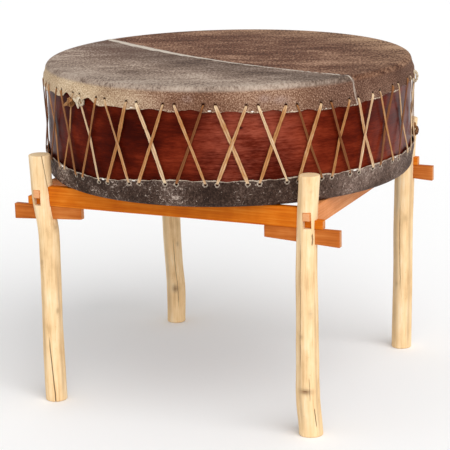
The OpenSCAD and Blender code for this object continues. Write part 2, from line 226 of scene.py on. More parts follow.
class Finish:
    """A material and the few ways its nodes are made."""

    def __init__(self, name, **constants):
        self.material = bpy.data.materials.new(name)
        self.material.use_nodes = True
        self.tree = self.material.node_tree
        self.shader = self.tree.nodes["Principled BSDF"]
        for socket, value in constants.items():
            self.shader.inputs[socket.replace("_", " ")].default_value = value

    def node(self, kind, settings=None, inputs=None):
        """One node: its settings first, then the values or links of its sockets."""
        node = self.tree.nodes.new(kind)
        for key, value in (settings or {}).items():
            setattr(node, key, value)
        for key, value in (inputs or {}).items():
            self.feed(node.inputs[key], value)
        return node

    def feed(self, socket, value):
        """Links a varying value to the socket, or sets a constant one."""
        if isinstance(value, Value):
            value = value.socket
        if isinstance(value, bpy.types.NodeSocket):
            self.tree.links.new(value, socket)
        else:
            socket.default_value = value

    def math(self, operation, *values):
        node = self.node("ShaderNodeMath", {"operation": operation}, dict(enumerate(values)))
        return Value(self, node.outputs[0])

    def place(self, shift=None):
        """Object coordinates, moved by the given vector where there is one."""
        place = self.node("ShaderNodeTexCoord").outputs["Object"]
        if shift is None:
            return place
        return self.node("ShaderNodeMapping", None, {"Vector": place, "Location": shift}).outputs[0]

    def axes(self, vector):
        """The three numbers of a vector."""
        parts = self.node("ShaderNodeSeparateXYZ", None, {0: vector})
        return [Value(self, parts.outputs[i]) for i in range(3)]

    def vector(self, x, y, z=0.0):
        return self.node("ShaderNodeCombineXYZ", None, {0: x, 1: y, 2: z}).outputs[0]

    def stretch(self, vector, sizes):
        """The vector in units of the given sizes, so that noise of scale 1 has that size."""
        scale = [1 / s for s in sizes]
        return self.node("ShaderNodeMapping", None, {"Vector": vector, "Scale": scale}).outputs[0]

    def noise(self, vector, scale=1.0, detail=4.0, roughness=0.55, distortion=0.0):
        inputs = {"Vector": vector, "Scale": scale, "Detail": detail, "Roughness": roughness}
        inputs["Distortion"] = distortion
        node = self.node("ShaderNodeTexNoise", {"noise_dimensions": "3D"}, inputs)
        return Value(self, node.outputs["Fac"])

    def value(self, name):
        """A number that the mesh carries at each point."""
        node = self.node("ShaderNodeAttribute", {"attribute_name": name})
        return Value(self, node.outputs["Fac"])

    def direction(self, name):
        """A vector that the mesh carries at each point."""
        return self.node("ShaderNodeAttribute", {"attribute_name": name}).outputs["Vector"]

    def step(self, value, low, high):
        """0 where value is below low, 1 above high, smooth between."""
        inputs = {"Value": value, "From Min": low, "From Max": high}
        node = self.node("ShaderNodeMapRange", {"interpolation_type": "SMOOTHSTEP"}, inputs)
        return Value(self, node.outputs[0])

    def colours(self, value, stops):
        """Colour ramp: stops are (place, colour)."""
        node = self.node("ShaderNodeValToRGB", None, {"Fac": value})
        ramp = node.color_ramp
        while len(ramp.elements) < len(stops):
            ramp.elements.new(0.5)
        for element, (place, colour) in zip(ramp.elements, stops):
            element.position = place
            element.color = (*colour, 1)
        return node.outputs[0]

    def mix(self, share, a, b, blend="MIX"):
        """Colour a where share is 0, b where it is 1."""
        node = self.node("ShaderNodeMix", {"data_type": "RGBA", "blend_type": blend})
        self.feed(node.inputs["Factor"], share)
        for socket, colour in ((node.inputs[6], a), (node.inputs[7], b)):
            self.feed(socket, colour if not isinstance(colour, tuple) else (*colour, 1))
        return node.outputs[2]

    def show(self, colour=None, roughness=None, relief=None, depth=0.0003, coat=None):
        """Joins the colour, the roughness and the bump of the given depth in metres to the shader."""
        if colour is not None:
            self.feed(self.shader.inputs["Base Color"], colour)
        if roughness is not None:
            self.feed(self.shader.inputs["Roughness"], roughness)
        if coat is not None:
            self.feed(self.shader.inputs["Coat Weight"], coat)
        if relief is not None:
            bump = self.node("ShaderNodeBump", None, {"Height": relief, "Distance": depth, "Strength": 1.0})
            self.feed(self.shader.inputs["Normal"], bump.outputs[0])
        return self.material


def pole_finish(name, seed):
    """Peeled pole: pale dry wood, its grain running up the pole, painted shade in dark brown in the cracks
    and in grey-brown streaks down its two sides.
    """
    f = Finish(name, Specular_IOR_Level=0.12)
    place = f.place((seed, seed * 0.7, 0))
    streak = f.noise(f.stretch(place, (0.005, 0.005, 0.10)), detail=5, roughness=0.6)
    fibre = f.noise(f.stretch(place, (0.0013, 0.0013, 0.05)), detail=3)
    cloud = f.noise(f.stretch(place, (0.03, 0.03, 0.07)), detail=4)
    tone = streak * 0.4 + cloud * 0.45 + fibre * 0.15
    colour = f.colours(tone, [
        (0.38, (0.66, 0.42, 0.21)), (0.46, (0.80, 0.55, 0.29)),
        (0.54, (0.87, 0.63, 0.36)), (0.62, (0.90, 0.72, 0.47)),
    ])
    speck = f.step(f.noise(f.stretch(place, (0.0035, 0.0035, 0.006)), detail=2), 0.68, 0.76)
    colour = f.mix(speck * 0.4, colour, (0.52, 0.30, 0.14))
    # Painted shade: grey-brown streaks down the left and right sides of the pole.
    colour = f.mix(f.value("painted_side_shade") * (streak * 1.4 - 0.25), colour, (0.42, 0.28, 0.16))
    bruise = f.value("bruise") * (0.35 + 1.1 * f.noise(f.stretch(place, (0.02, 0.02, 0.0022)), detail=3))
    colour = f.mix(bruise, colour, (0.20, 0.10, 0.045))
    colour = f.mix(f.value("sawn") * 0.40, colour, (0.72, 0.55, 0.34))
    # Painted shade: dark brown in the drying cracks and in the crack across the top.
    colour = f.mix(f.value("painted_crack_shade") * 0.9, colour, (0.12, 0.065, 0.030))
    relief = streak * 0.6 + fibre * 0.4
    return f.show(colour, 0.66 + fibre * 0.15, relief, 0.0009)


def stained_finish(name, along, deep, mid, light, seed):
    """Stained softwood board: straight dark grain lines along one axis, satin."""
    f = Finish(name, Specular_IOR_Level=0.05, Coat_Weight=0.04, Coat_Roughness=0.3)
    place = f.place((seed, seed, seed))
    sizes = [0.012, 0.012, 0.0035]
    sizes[along] = 0.16
    grain = f.noise(f.stretch(place, sizes), detail=5, roughness=0.6, distortion=0.4)
    sizes = [0.0012, 0.0012, 0.0007]
    sizes[along] = 0.03
    pores = f.noise(f.stretch(place, sizes), detail=2)
    cloud = f.noise(place, scale=14.0, detail=3)
    tone = grain * 0.45 + cloud * 0.4 + pores * 0.15
    colour = f.colours(tone, [(0.36, deep), (0.50, mid), (0.64, light)])
    end_grain = tuple(0.5 * c + 0.5 * v for c, v in zip(light, (0.75, 0.5, 0.28)))
    colour = f.mix(f.value("end") * 0.55, colour, end_grain)
    return f.show(colour, 0.36 + pores * 0.2, grain * 0.4 + pores * 0.6, 0.00025)


def round_the_drum(f):
    """Turn round the drum's axis from its front middle, seamless but for the back, and height."""
    x, y, z = f.axes(f.place())
    return f.math("ARCTAN2", x, 0 - y), z


def shell_finish():
    """Bent plank under dark red varnish: grain runs round the drum and starts at the scarf. A paler band over
    the front right is painted highlight, with a hazy painted reflection in it, and there is one healed knot."""
    f = Finish("red_varnished_plank", Coat_Roughness=0.3, Specular_IOR_Level=0.02)
    turn, z = round_the_drum(f)
    arc = turn * SHELL_R
    plank = f.vector(arc, z)
    cloud = f.noise(f.stretch(plank, (0.14, 0.07, 1)), detail=4, roughness=0.6)
    grain = f.noise(f.stretch(plank, (0.13, 0.005, 1)), detail=5, roughness=0.6, distortion=0.3)
    fine = f.noise(f.stretch(plank, (0.014, 0.0009, 1)), detail=2)
    blotch = f.noise(f.stretch(plank, (0.05, 0.02, 1)), detail=4, roughness=0.6)
    # Painted highlight: the plank is paler from the front round to the front right.
    painted_highlight = f.step(turn, 2 * DEG, 26 * DEG) * (1 - 0.45 * f.step(turn, 44 * DEG, 70 * DEG))
    tone = cloud * 0.52 + grain * 0.14 + blotch * 0.14 + fine * 0.20 + painted_highlight * 0.075 - 0.02
    colour = f.colours(tone, [
        (0.38, (0.030, 0.0020, 0.0006)), (0.47, (0.066, 0.0050, 0.0010)), (0.54, (0.120, 0.0115, 0.0030)),
        (0.63, (0.22, 0.030, 0.010)), (0.72, (0.32, 0.062, 0.028)),
    ])
    # Painted reflection: pale hazy patches over the front right of the plank.
    painted_reflection = f.step(turn, 10 * DEG, 24 * DEG) * (1 - f.step(turn, 34 * DEG, 52 * DEG))
    painted_reflection = painted_reflection * f.step(grain * 0.25 + fine * 0.35 + cloud * 0.4, 0.42, 0.60)
    colour = f.mix(painted_reflection * 0.34, colour, (0.40, 0.12, 0.080))
    knot = f.math("SQRT", (arc - KNOT_ARC) ** 2 + (z - KNOT_Z) ** 2 * 2.2) + (blotch - 0.5) * 0.006
    colour = f.mix((1 - f.step(knot, 0.0028, 0.0056)) * 0.75, colour, (0.016, 0.005, 0.004))
    scarf = f.math("ABSOLUTE", arc - SCARF_ARC)
    colour = f.mix(1 - f.step(scarf, 0.0002, 0.0009), colour, (0.012, 0.004, 0.003))
    glossy = f.step(0 - turn, 28 * DEG, 62 * DEG) + f.step(turn, 62 * DEG, 90 * DEG)
    relief = grain * 0.5 + fine * 0.2 + cloud * 0.3
    return f.show(colour, 0.45 + grain * 0.2, relief, 0.0005, 0.02 + glossy * 0.55)


def hair(f, flat, seed):
    """Short hair lying over a hide: broad streaks, tufts and single strands, in its flat plane."""
    settings = {"Vector": flat, "Rotation": (0, 0, -20 * DEG), "Location": (seed, 0, 0)}
    turned = f.node("ShaderNodeMapping", None, settings).outputs[0]
    streak = f.noise(f.stretch(turned, (0.15, 0.045, 1)), detail=5, roughness=0.62)
    tuft = f.noise(f.stretch(turned, (0.0046, 0.0125, 1)), detail=4, roughness=0.75)
    strand = f.noise(f.stretch(turned, (0.005, 0.0012, 1)), detail=2)
    return streak, tuft, strand


def upper_hide_finish():
    """Haired hide: taupe on one side of the spine and red-brown on the other, speckled on the
    skirt, with a pale frayed line of longer hair along the spine."""
    f = Finish("haired_calf_hide", Specular_IOR_Level=0.08, Sheen_Weight=0.02, Sheen_Roughness=0.5)
    flat = f.direction("flat")
    streak, tuft, strand = hair(f, flat, 0)
    cloud = f.noise(f.stretch(flat, (0.16, 0.12, 1)), detail=4, roughness=0.6)
    side = f.step(f.value("spine") + (streak - 0.5) * 0.02, -0.006, 0.008)
    tone = streak * 0.26 + tuft * 0.50 + cloud * 0.24
    near = f.colours(tone, [
        (0.41, (0.105, 0.066, 0.049)), (0.50, (0.265, 0.185, 0.138)), (0.58, (0.52, 0.410, 0.33)),
    ])
    far = f.colours(tone, [
        (0.41, (0.050, 0.019, 0.011)), (0.50, (0.145, 0.061, 0.034)), (0.59, (0.40, 0.235, 0.150)),
    ])
    shade = 1 - f.step(f.math("ABSOLUTE", f.value("spine") + (cloud - 0.5) * 0.10), 0.03, 0.15)
    near = f.mix(shade * 0.80, near, f.mix(1.0, near, (0.44, 0.40, 0.395), "MULTIPLY"))
    # Painted highlight: the near side lighter along the front of the rim.
    near = f.mix(f.value("painted_rim_highlight") * f.step(tone, 0.38, 0.56) * 0.8, near, (0.45, 0.365, 0.295))
    near = f.mix(f.value("rust") * f.step(tone, 0.56, 0.44) * 0.8, near, (0.135, 0.070, 0.050))
    # Painted sheen: the far side lighter along the back of the rim.
    far = f.mix(f.value("gloss") * f.step(tone, 0.42, 0.56), far, (0.44, 0.275, 0.165))
    colour = f.mix(side, near, far)
    fleck = f.noise(f.stretch(flat, (0.0029, 0.0029, 1)), detail=3, roughness=0.75)
    mottle = fleck * 0.7 + cloud * 0.3
    tan = f.colours(mottle, [
        (0.38, (0.27, 0.170, 0.098)), (0.50, (0.56, 0.400, 0.245)), (0.61, (0.84, 0.70, 0.50)),
    ])
    brown = f.colours(mottle, [
        (0.39, (0.085, 0.036, 0.020)), (0.50, (0.190, 0.092, 0.054)), (0.61, (0.46, 0.300, 0.205)),
    ])
    dusk = f.colours(mottle, [
        (0.39, (0.048, 0.020, 0.012)), (0.50, (0.120, 0.056, 0.035)), (0.62, (0.30, 0.18, 0.125)),
    ])
    skirt_colour = f.mix(f.step(f.value("pale") + (cloud - 0.5) * 0.6, 0.15, 0.85), brown, tan)
    skirt_colour = f.mix(f.step(f.value("dusk") + (cloud - 0.5) * 0.6, 0.15, 0.85), skirt_colour, dusk)
    bald = f.value("bald") * f.step(mottle, 0.40, 0.56)
    skirt_colour = f.mix(bald * 0.7, skirt_colour, (0.34, 0.235, 0.20))
    colour = f.mix(f.step(f.value("skirt") + (tuft - 0.5) * 0.7, 0.2, 0.8), colour, skirt_colour)
    fray = f.noise(f.stretch(f.direction("spine_place"), (0.034, 0.0026, 1)), detail=4, roughness=0.65)
    ridge = f.value("ridge") * 0.8 + (fray - 0.5) * 1.5 * f.step(f.value("ridge"), 0.02, 0.35)
    long_hair = f.mix(fray, (0.40, 0.33, 0.27), (0.88, 0.80, 0.68))
    colour = f.mix(f.step(ridge, 0.30, 0.62) * (0.9 - 0.5 * f.value("skirt")), colour, long_hair)
    edge = f.step(f.value("raw") + (fleck - 0.5) * 1.4 + (cloud - 0.5) * 1.2, 0.80, 1.05)
    colour = f.mix(edge * 0.7, colour, (0.70, 0.58, 0.44))
    # Near-white patches on the free edge between the holes of some pairs.
    colour = f.mix(f.step(f.value("white_edge_bits") + (fleck - 0.5) * 0.6, 0.55, 0.7), colour, (0.90, 0.85, 0.78))
    # Painted shade: near black in the lacing holes and on the inner faces of the hide.
    colour = f.mix(f.value("painted_shade_holes_inside"), colour, (0.012, 0.007, 0.005))
    return f.show(colour, 0.78 + strand * 0.15, tuft * 0.35 + strand * 0.25 + fleck * 0.4, 0.0016)


def lower_hide_finish():
    """Nearly black haired hide, with flaky pale scuffs where the hair has worn off."""
    f = Finish("dark_haired_hide", Specular_IOR_Level=0.08)
    flat = f.direction("flat")
    _, tuft, strand = hair(f, flat, 3)
    cloud = f.noise(f.stretch(flat, (0.10, 0.10, 1)), detail=4, roughness=0.6)
    fleck = f.noise(f.stretch(flat, (0.0042, 0.0042, 1)), detail=4, roughness=0.75, distortion=0.8)
    tone = cloud * 0.35 + tuft * 0.25 + fleck * 0.35 + f.value("dusk") * 0.075 + 0.03
    colour = f.colours(tone, [
        (0.40, (0.012, 0.006, 0.004)), (0.49, (0.042, 0.023, 0.016)),
        (0.57, (0.115, 0.073, 0.056)), (0.67, (0.27, 0.19, 0.155)),
    ])
    flake = f.noise(f.stretch(flat, (0.0085, 0.0060, 1)), detail=5, roughness=0.72, distortion=1.2)
    scuff = f.step(flake * 0.60 + cloud * 0.30 + fleck * 0.10 + f.value("pale") * 0.02, 0.560, 0.600)
    colour = f.mix(scuff * 0.85, colour, (0.50, 0.40, 0.335))
    edge = f.step(f.value("raw") + (fleck - 0.5) * 1.2 + (cloud - 0.5) * 0.6, 0.60, 0.90)
    colour = f.mix(edge * 0.8, colour, (0.56, 0.45, 0.35))
    # Near-white patches on the free edge between the holes of some pairs.
    colour = f.mix(f.step(f.value("white_edge_bits") + (fleck - 0.5) * 0.6, 0.45, 0.6), colour, (0.92, 0.88, 0.82))
    # Painted shade: near black in the lacing holes and on the inner faces of the hide.
    colour = f.mix(f.value("painted_shade_holes_inside"), colour, (0.010, 0.006, 0.005))
    return f.show(colour, 0.50 + fleck * 0.35, strand * 0.1 + tuft * 0.3 + flake * 0.6, 0.0035)


def thong_finish(name, dark, mid, light, gloss=0.5):
    """Rawhide or leather thong: fibres along it, each stretch of it lighter or more amber, and painted shade
    darkening its edges and the groove down its middle.
    """
    f = Finish(name, Specular_IOR_Level=0.2)
    along = f.direction("along")
    fibre = f.noise(f.stretch(along, (0.0016, 0.03, 1)), detail=4, roughness=0.65)
    patch = f.noise(f.stretch(along, (0.012, 0.028, 1)), detail=4, roughness=0.6)
    tone = f.value("tone") * 0.72 + fibre * 0.55 + patch * 0.45 - 0.46
    colour = f.colours(tone, [(0.15, dark), (0.50, mid), (0.86, light)])
    # Painted shade: darker at the thong's edges and in its groove.
    colour = f.mix(f.value("painted_edge_groove_shade") * 0.8, colour, f.mix(1.0, colour, (0.42, 0.32, 0.24), "MULTIPLY"))
    return f.show(colour, gloss + fibre * 0.2, fibre, 0.0008)


def plain_wood_finish(name, deep, light):
    """Bare wood bent round the drum: grain along the turn."""
    f = Finish(name, Specular_IOR_Level=0.35)
    turn, z = round_the_drum(f)
    ring = f.vector(turn * SHELL_R, z)
    grain = f.noise(f.stretch(ring, (0.09, 0.003, 1)), detail=5, roughness=0.6)
    return f.show(f.colours(grain, [(0.35, deep), (0.65, light)]), 0.6 + grain * 0.2, grain, 0.0003)


# ---------------------------------------------------------------- poles

# Drying cracks of each pole: (height in mm, angle in degrees) along the crack, half width and
# depth in mm.
CRACKS = {
    "front_left": [
        ([(519, -50), (490, -40), (455, -24), (436, -17)], 0.9, 2.2),
        ([(150, -87), (70, -74), (-30, -62)], 1.5, 3.4),
    ],
    "front_right": [
        ([(405, -104), (300, -105), (128, -108)], 0.9, 1.8),
        ([(409, -37), (397, -35), (384, -36)], 2.2, 5.0),
        ([(62, -41), (18, -38)], 1.3, 2.4),
        ([(125, -62), (70, -60)], 0.7, 0.8),
    ],
    "back_right": [
        ([(360, -96), (120, -88)], 0.9, 1.6),
        ([(380, 60), (90, 72)], 1.1, 2.5),
    ],
    "back_left": [
        ([(210, -60), (30, -52)], 0.8, 1.5),
        ([(500, 120), (260, 134)], 1.1, 2.5),
    ],
}
# How far each pole bends sideways along X: (height, shift) in mm.
BENDS = {
    "front_left": [
        (0, 0), (115, 1.5), (220, 6), (320, 9), (368, 10), (398, 4.5), (430, 1), (519, 1),
    ],
    "front_right": [
        (0, 2), (30, 0), (60, -3.6), (130, -5.3), (350, -7.2), (430, -6), (470, -4.4), (519, -1),
    ],
    "back_right": [(0, 0), (139, -0.6), (277, -3), (385, -2.5), (463, -1.5), (519, 2)],
    "back_left": [(0, 7.5), (45, 9), (83, 10), (112, 8), (171, 5), (228, 3.6), (300, 2), (519, 0)],
}
# Radius of each pole: (height, radius) in mm.
GIRTHS = {
    "front_left": [(0, 22), (120, 21.4), (300, 20.6), (420, 20.8), (519, 21.8)],
    "front_right": [(0, 24.2), (60, 23.6), (180, 22), (330, 21), (428, 19.2), (519, 20.2)],
    "back_right": [(0, 21.6), (250, 21.2), (519, 21.4)],
    "back_left": [(0, 20.8), (83, 22), (140, 20.6), (300, 20.5), (519, 20.4)],
}
# Healed branch scars: height in mm, angle in degrees, how far it stands out, half its width and
# half its height in mm.
SCARS = {
    "front_left": [(372, -14, 0.7, 4, 7), (300, -110, 0.7, 3, 5), (196, -30, 0.9, 3, 6)],
    "front_right": [
        (94, -82, 1.5, 9, 5), (491, -58, 0.4, 3, 3), (250, -50, 0.5, 4, 9), (205, -100, 0.7, 3, 4),
    ],
    "back_right": [(300, -60, 0.6, 4, 6), (150, -110, 0.5, 3, 5)],
    "back_left": [(84, -70, 2.0, 5, 8), (190, -30, 0.8, 3, 5)],
}
# Painted shade: grey-brown streaky bands down the left and right sides of each pole as seen from the front
# right: top and bottom in mm, angle and half width in degrees.
PAINTED_SIDE_SHADES = {
    "front_left": [(519, 400, -128, 9), (330, 60, -118, 8), (300, 0, -16, 7)],
    "front_right": [(430, 20, -110, 7), (519, 430, -114, 6), (300, 0, -24, 5)],
    "back_right": [(470, 0, -118, 14), (519, 0, -30, 8)],
    "back_left": [(420, 0, -112, 12)],
}
POLE_COLUMNS = 208
POLE_ROWS = 270
TOP_ROUND = 2.4 * MM
FOOT_ROUND = 1.6 * MM


def through(stations, z, blur=18 * MM):
    """A smooth line through a few (height, amount) stations in millimetres, read at z: straight
    stretches, averaged over a short way up and down."""
    heights, amounts = np.array(stations, float).T * MM
    reach = np.linspace(-blur, blur, 9)
    return np.interp(np.add.outer(z, reach), heights, amounts).mean(-1)


def crack_share(a, z, path, half_width, radius):
    """1 on the middle line of a crack, 0 beyond its half width, fading out at both ends."""
    heights, angles = np.array(sorted(path), float).T
    line = np.interp(z, heights * MM, angles * DEG) + 0.02 * wobble(z / MM * 0.05, int(heights[-1]))
    span = (z - heights[0] * MM) / ((heights[-1] - heights[0]) * MM)
    top_fade = np.clip((1 - span) / 0.15, 0, 1) if heights[-1] * MM < POLE_H - 1 * MM else (span <= 1.2)
    fade = np.clip(span / 0.15, 0, 1) * top_fade
    aside = np.abs((a - line + math.pi) % (2 * math.pi) - math.pi) * radius
    across = aside / (half_width * MM * np.sqrt(np.maximum(fade, 0.05)))
    return np.clip(1 - across, 0, 1) * fade


def pole_skin(name, corner):
    """A pole: rings round a bent middle line. The radius follows the girth, swells at branch scars,
    ripples a little, and drops in the cracks. The ends are sawn flat and slightly rounded."""
    side = np.linspace(FOOT_ROUND, POLE_H - TOP_ROUND, POLE_ROWS)
    quarter = np.linspace(0, math.pi / 2, 5)
    z = np.concatenate([
        np.zeros(3), FOOT_ROUND * (1 - np.cos(quarter[:-1])),
        side,
        POLE_H - TOP_ROUND + TOP_ROUND * np.sin(quarter[1:]), np.full(6, POLE_H),
    ])
    inset = np.concatenate([
        np.zeros(3), FOOT_ROUND * (1 - np.sin(quarter[:-1])),
        np.zeros(POLE_ROWS),
        TOP_ROUND * (1 - np.cos(quarter[1:])), np.full(6, TOP_ROUND),
    ])
    share = np.concatenate([[0.1, 0.5, 0.9], np.ones(POLE_ROWS + 8), np.linspace(0.9, 0.08, 6)])
    a = np.linspace(0, 2 * math.pi, POLE_COLUMNS, endpoint=False)[None, :]
    zz = z[:, None]
    seed = list(CORNERS).index(corner) * 11 + 5
    radius = through(GIRTHS[corner], z)[:, None] * np.ones_like(a)
    broad_waves = 0.45 * MM * ripple(a, zz, seed, turns=3, rises=26)
    fine_waves = 0.16 * MM * ripple(a, zz, seed + 1, turns=11, rises=60)
    radius += broad_waves + fine_waves
    bruise = np.zeros_like(radius)
    for height, angle, out, half_w, half_h in SCARS[corner]:
        d = np.hypot(turn_from(a, angle) * 21 / (2 * half_w), (zz / MM - height) / (2 * half_h))
        radius += out * MM * (bell(d) - 0.45 * bell(d / 0.35))
        bruise = np.maximum(bruise, bell(d / 0.42) * min(0.9, 0.6 * out))
    # Mask of painted shade down the pole's two sides.
    painted_side_shade = np.zeros_like(radius)
    for top, bottom, angle, half_w in PAINTED_SIDE_SHADES[corner]:
        length = smooth((top + 20 - zz / MM) / 60) * smooth((zz / MM - bottom + 20) / 60)
        painted_side_shade = np.maximum(painted_side_shade, bell(turn_from(a, angle) / (half_w * DEG)) * length)
    # Mask of painted shade in the cracks; their depth is cut into the radius separately.
    painted_crack_shade = np.zeros_like(radius)
    for path, half_width, depth in CRACKS[corner]:
        hit = crack_share(a, zz, path, half_width, radius)
        radius -= depth * MM * hit
        painted_crack_shade = np.maximum(painted_crack_shade, hit)
    on_end = share[:, None] < 0.99
    on_top = on_end & (zz > POLE_H / 2)
    # One drying crack runs from the middle of the top out to its edge.
    from_spoke = np.abs((a + 0.9 + 0.25 * (1 - share[:, None])) * share[:, None])
    spoke = np.where(on_top, smooth(1 - from_spoke / 0.045), 0)
    painted_crack_shade = np.where(on_end, 0.85 * spoke, smooth(painted_crack_shade * 1.3))
    radius = (radius - inset[:, None]) * share[:, None]
    foot = FOOT[corner]
    cx = foot[0] + CORNERS[corner][0] * POLE_LEAN * z + through(BENDS[corner], z)
    cy = foot[1] + CORNERS[corner][1] * POLE_LEAN * z + 1.2 * MM * wobble(z * 9, seed + 2)
    dome = np.where(on_top, 0.5 * MM * (1 - share[:, None] ** 2) - 0.9 * MM * spoke, 0)
    rings = np.stack([cx[:, None] + radius * np.cos(a), cy[:, None] + radius * np.sin(a), zz + dome], -1)
    sawn = on_end * 1.0 + np.zeros_like(radius)
    values = {"painted_crack_shade": painted_crack_shade, "bruise": bruise, "painted_side_shade": painted_side_shade * ~on_end, "sawn": sawn}
    return closed_tube(name, rings, None, values)


def cut(piece, cutters):
    """Takes the cutters' shapes out of a piece for good, and removes them."""
    for cutter in cutters:
        step = piece.modifiers.new("mortise", "BOOLEAN")
        step.operation = "DIFFERENCE"
        step.solver = "EXACT"
        step.object = cutter
    graph = bpy.context.evaluated_depsgraph_get()
    mesh = bpy.data.meshes.new_from_object(piece.evaluated_get(graph))
    piece.modifiers.clear()
    piece.data = mesh
    mesh.set_sharp_from_angle(angle=42 * DEG)
    for cutter in cutters:
        bpy.data.objects.remove(cutter)


# ---------------------------------------------------------------- rails and wedges

def board_section(corner_points=4, tall=6, thin=3):
    """One turn round a rounded rectangle: for each point the share of the half sizes left after
    rounding, and the unit direction of the rounding."""
    shares, outs = [], []
    corners = [(1, 1), (-1, 1), (-1, -1), (1, -1)]
    for i, (sx, sz) in enumerate(corners):
        start = i * math.pi / 2
        for t in np.linspace(0, math.pi / 2, corner_points):
            shares.append((sx, sz))
            outs.append((math.cos(start + t), math.sin(start + t)))
        nx, nz = corners[(i + 1) % 4]
        steps = thin if sz == nz else tall
        for t in np.linspace(0, 1, steps + 2)[1:-1]:
            shares.append((sx + (nx - sx) * t, sz + (nz - sz) * t))
            outs.append((math.cos(start + math.pi / 2), math.sin(start + math.pi / 2)))
    return np.array(shares), np.array(outs)


def board(name, stations, half_t, side, across, finish, seed, rounding=1.3 * MM, sway=0.25 * MM):
    """Rounded rectangle carried along X, or along Y where side is true, its middle at the offset
    across. stations are (place, low edge, high edge). A ring's points are the rectangle's corners
    drawn in by the rounding, plus the rounding times a direction that turns once round."""
    place, low, high = np.array(stations, float).T
    parts = []
    for a, b in zip(place[:-1], place[1:]):
        parts.append(np.linspace(a, b, max(2, int(abs(b - a) / (7 * MM))), endpoint=False))
    s = np.concatenate(parts + [place[-1:]])
    quarter = np.linspace(0, math.pi / 2, 5)[:-1]
    s = np.concatenate([
        s[0] + rounding * (1 - np.cos(quarter)), s[(s > s[0] + rounding) & (s < s[-1] - rounding)],
        s[-1] - rounding * (1 - np.cos(quarter[::-1])),
    ])
    end_inset = rounding * (1 - np.sin(quarter))
    inset = np.concatenate([end_inset, np.zeros(len(s) - 2 * len(quarter)), end_inset[::-1]])
    z0, z1 = np.interp(s, place, low), np.interp(s, place, high)
    shares, outs = board_section()
    zc, hz = (z0 + z1) / 2, (z1 - z0) / 2
    tight = np.maximum(rounding - inset, 0)
    h = shares[:, 0] * (half_t - rounding) + outs[:, 0] * tight[:, None]
    v = zc[:, None] + shares[:, 1] * (hz[:, None] - rounding) + outs[:, 1] * tight[:, None]
    along = s[:, None] + np.zeros_like(h)
    # Hand-planed faces sway very slightly.
    h += sway * np.sign(outs[:, 0]) * np.abs(outs[:, 0]) * wobble(along * 14, seed) * 0.5
    v += sway * outs[:, 1] * wobble(along * 11, seed + 1)
    rings = np.stack([-h + across, along, v] if side else [along, h + across, v], -1)
    end = np.zeros_like(h)
    end[[0, -1]] = 1
    return closed_tube(name, rings, finish, {"end": end}, 50 * DEG)


# The shoulders, where a rail drops to its tenon: their place, and the length of the drop.
SHOULDER_X = RAIL_OFF - 19.5 * MM
SHOULDER_STEP = 0.5 * MM


def long_rail(name, y, finish, seed):
    """Board between two poles whose lower part goes on as a tenon right through each pole."""
    stations = [
        (-TENON_REACH, RAIL_Z0, TENON_Z), (-SHOULDER_X - SHOULDER_STEP, RAIL_Z0, TENON_Z),
        (-SHOULDER_X, RAIL_Z0, RAIL_Z1), (SHOULDER_X, RAIL_Z0, RAIL_Z1),
        (SHOULDER_X + SHOULDER_STEP, RAIL_Z0, TENON_Z), (TENON_REACH, RAIL_Z0, TENON_Z),
    ]
    return board(name, stations, RAIL_HALF_T, False, y, finish, seed)


def side_rail(name, x, finish, seed):
    """Board between two poles with a narrower tenon that ends flush in each pole's outer face."""
    low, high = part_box("rail_left" if x < 0 else "rail_right")
    t0, t1 = SIDE_TENON_Z
    stations = [
        (low.y, t0, t1), (-SHOULDER_X - SHOULDER_STEP, t0, t1), (-SHOULDER_X, RAIL_Z0, RAIL_Z1),
        (SHOULDER_X, RAIL_Z0, RAIL_Z1), (SHOULDER_X + SHOULDER_STEP, t0, t1), (high.y, t0, t1),
    ]
    return board(name, stations, RAIL_HALF_T, True, x, finish, seed)


def wedge_stations(corner, extra=0.0, longer=0.0):
    """Stations, half thickness and middle of a wedge: level on top, the underside falling towards
    the outer end. A mortise for it is extra wider all round, and longer at each end."""
    low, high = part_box("wedge_" + corner)
    thin, thick = 23 * MM, 32 * MM
    first, last = (thick, thin) if CORNERS[corner][0] < 0 else (thin, thick)
    slope = (last - first) / (high.x - low.x)
    ends = [(low.x - longer, first - slope * longer), (high.x + longer, last + slope * longer)]
    stations = [(x, high.z - h - extra, high.z + extra) for x, h in ends]
    return stations, (high.y - low.y) / 2 + extra, (low.y + high.y) / 2


def mortise_cutters(corner):
    """Slots through one pole: for the side rail's tenon, the long tenon and the wedge below it."""
    sx, sy = CORNERS[corner]
    x, y = sx * RAIL_OFF, sy * RAIL_OFF
    reach = 32 * MM
    half = RAIL_HALF_T + FIT
    side_edges = (SIDE_TENON_Z[0] - 15.5 * MM, SIDE_TENON_Z[1] + FIT)
    long_edges = (RAIL_Z0 - 0.6 * MM, TENON_Z + FIT)
    side_slot = [(y - reach, *side_edges), (y + reach, *side_edges)]
    long_slot = [(x - reach, *long_edges), (x + reach, *long_edges)]
    stations, wedge_half, wedge_y = wedge_stations(corner, FIT, 5 * MM)
    return [
        board("slot_a", side_slot, half, True, x, None, 1, 0.9 * MM, 0),
        board("slot_b", long_slot, half, False, y, None, 1, 0.3 * MM, 0),
        board("slot_c", stations, wedge_half, False, wedge_y, None, 1, 0.5 * MM, 0),
    ]


# ---------------------------------------------------------------- shell

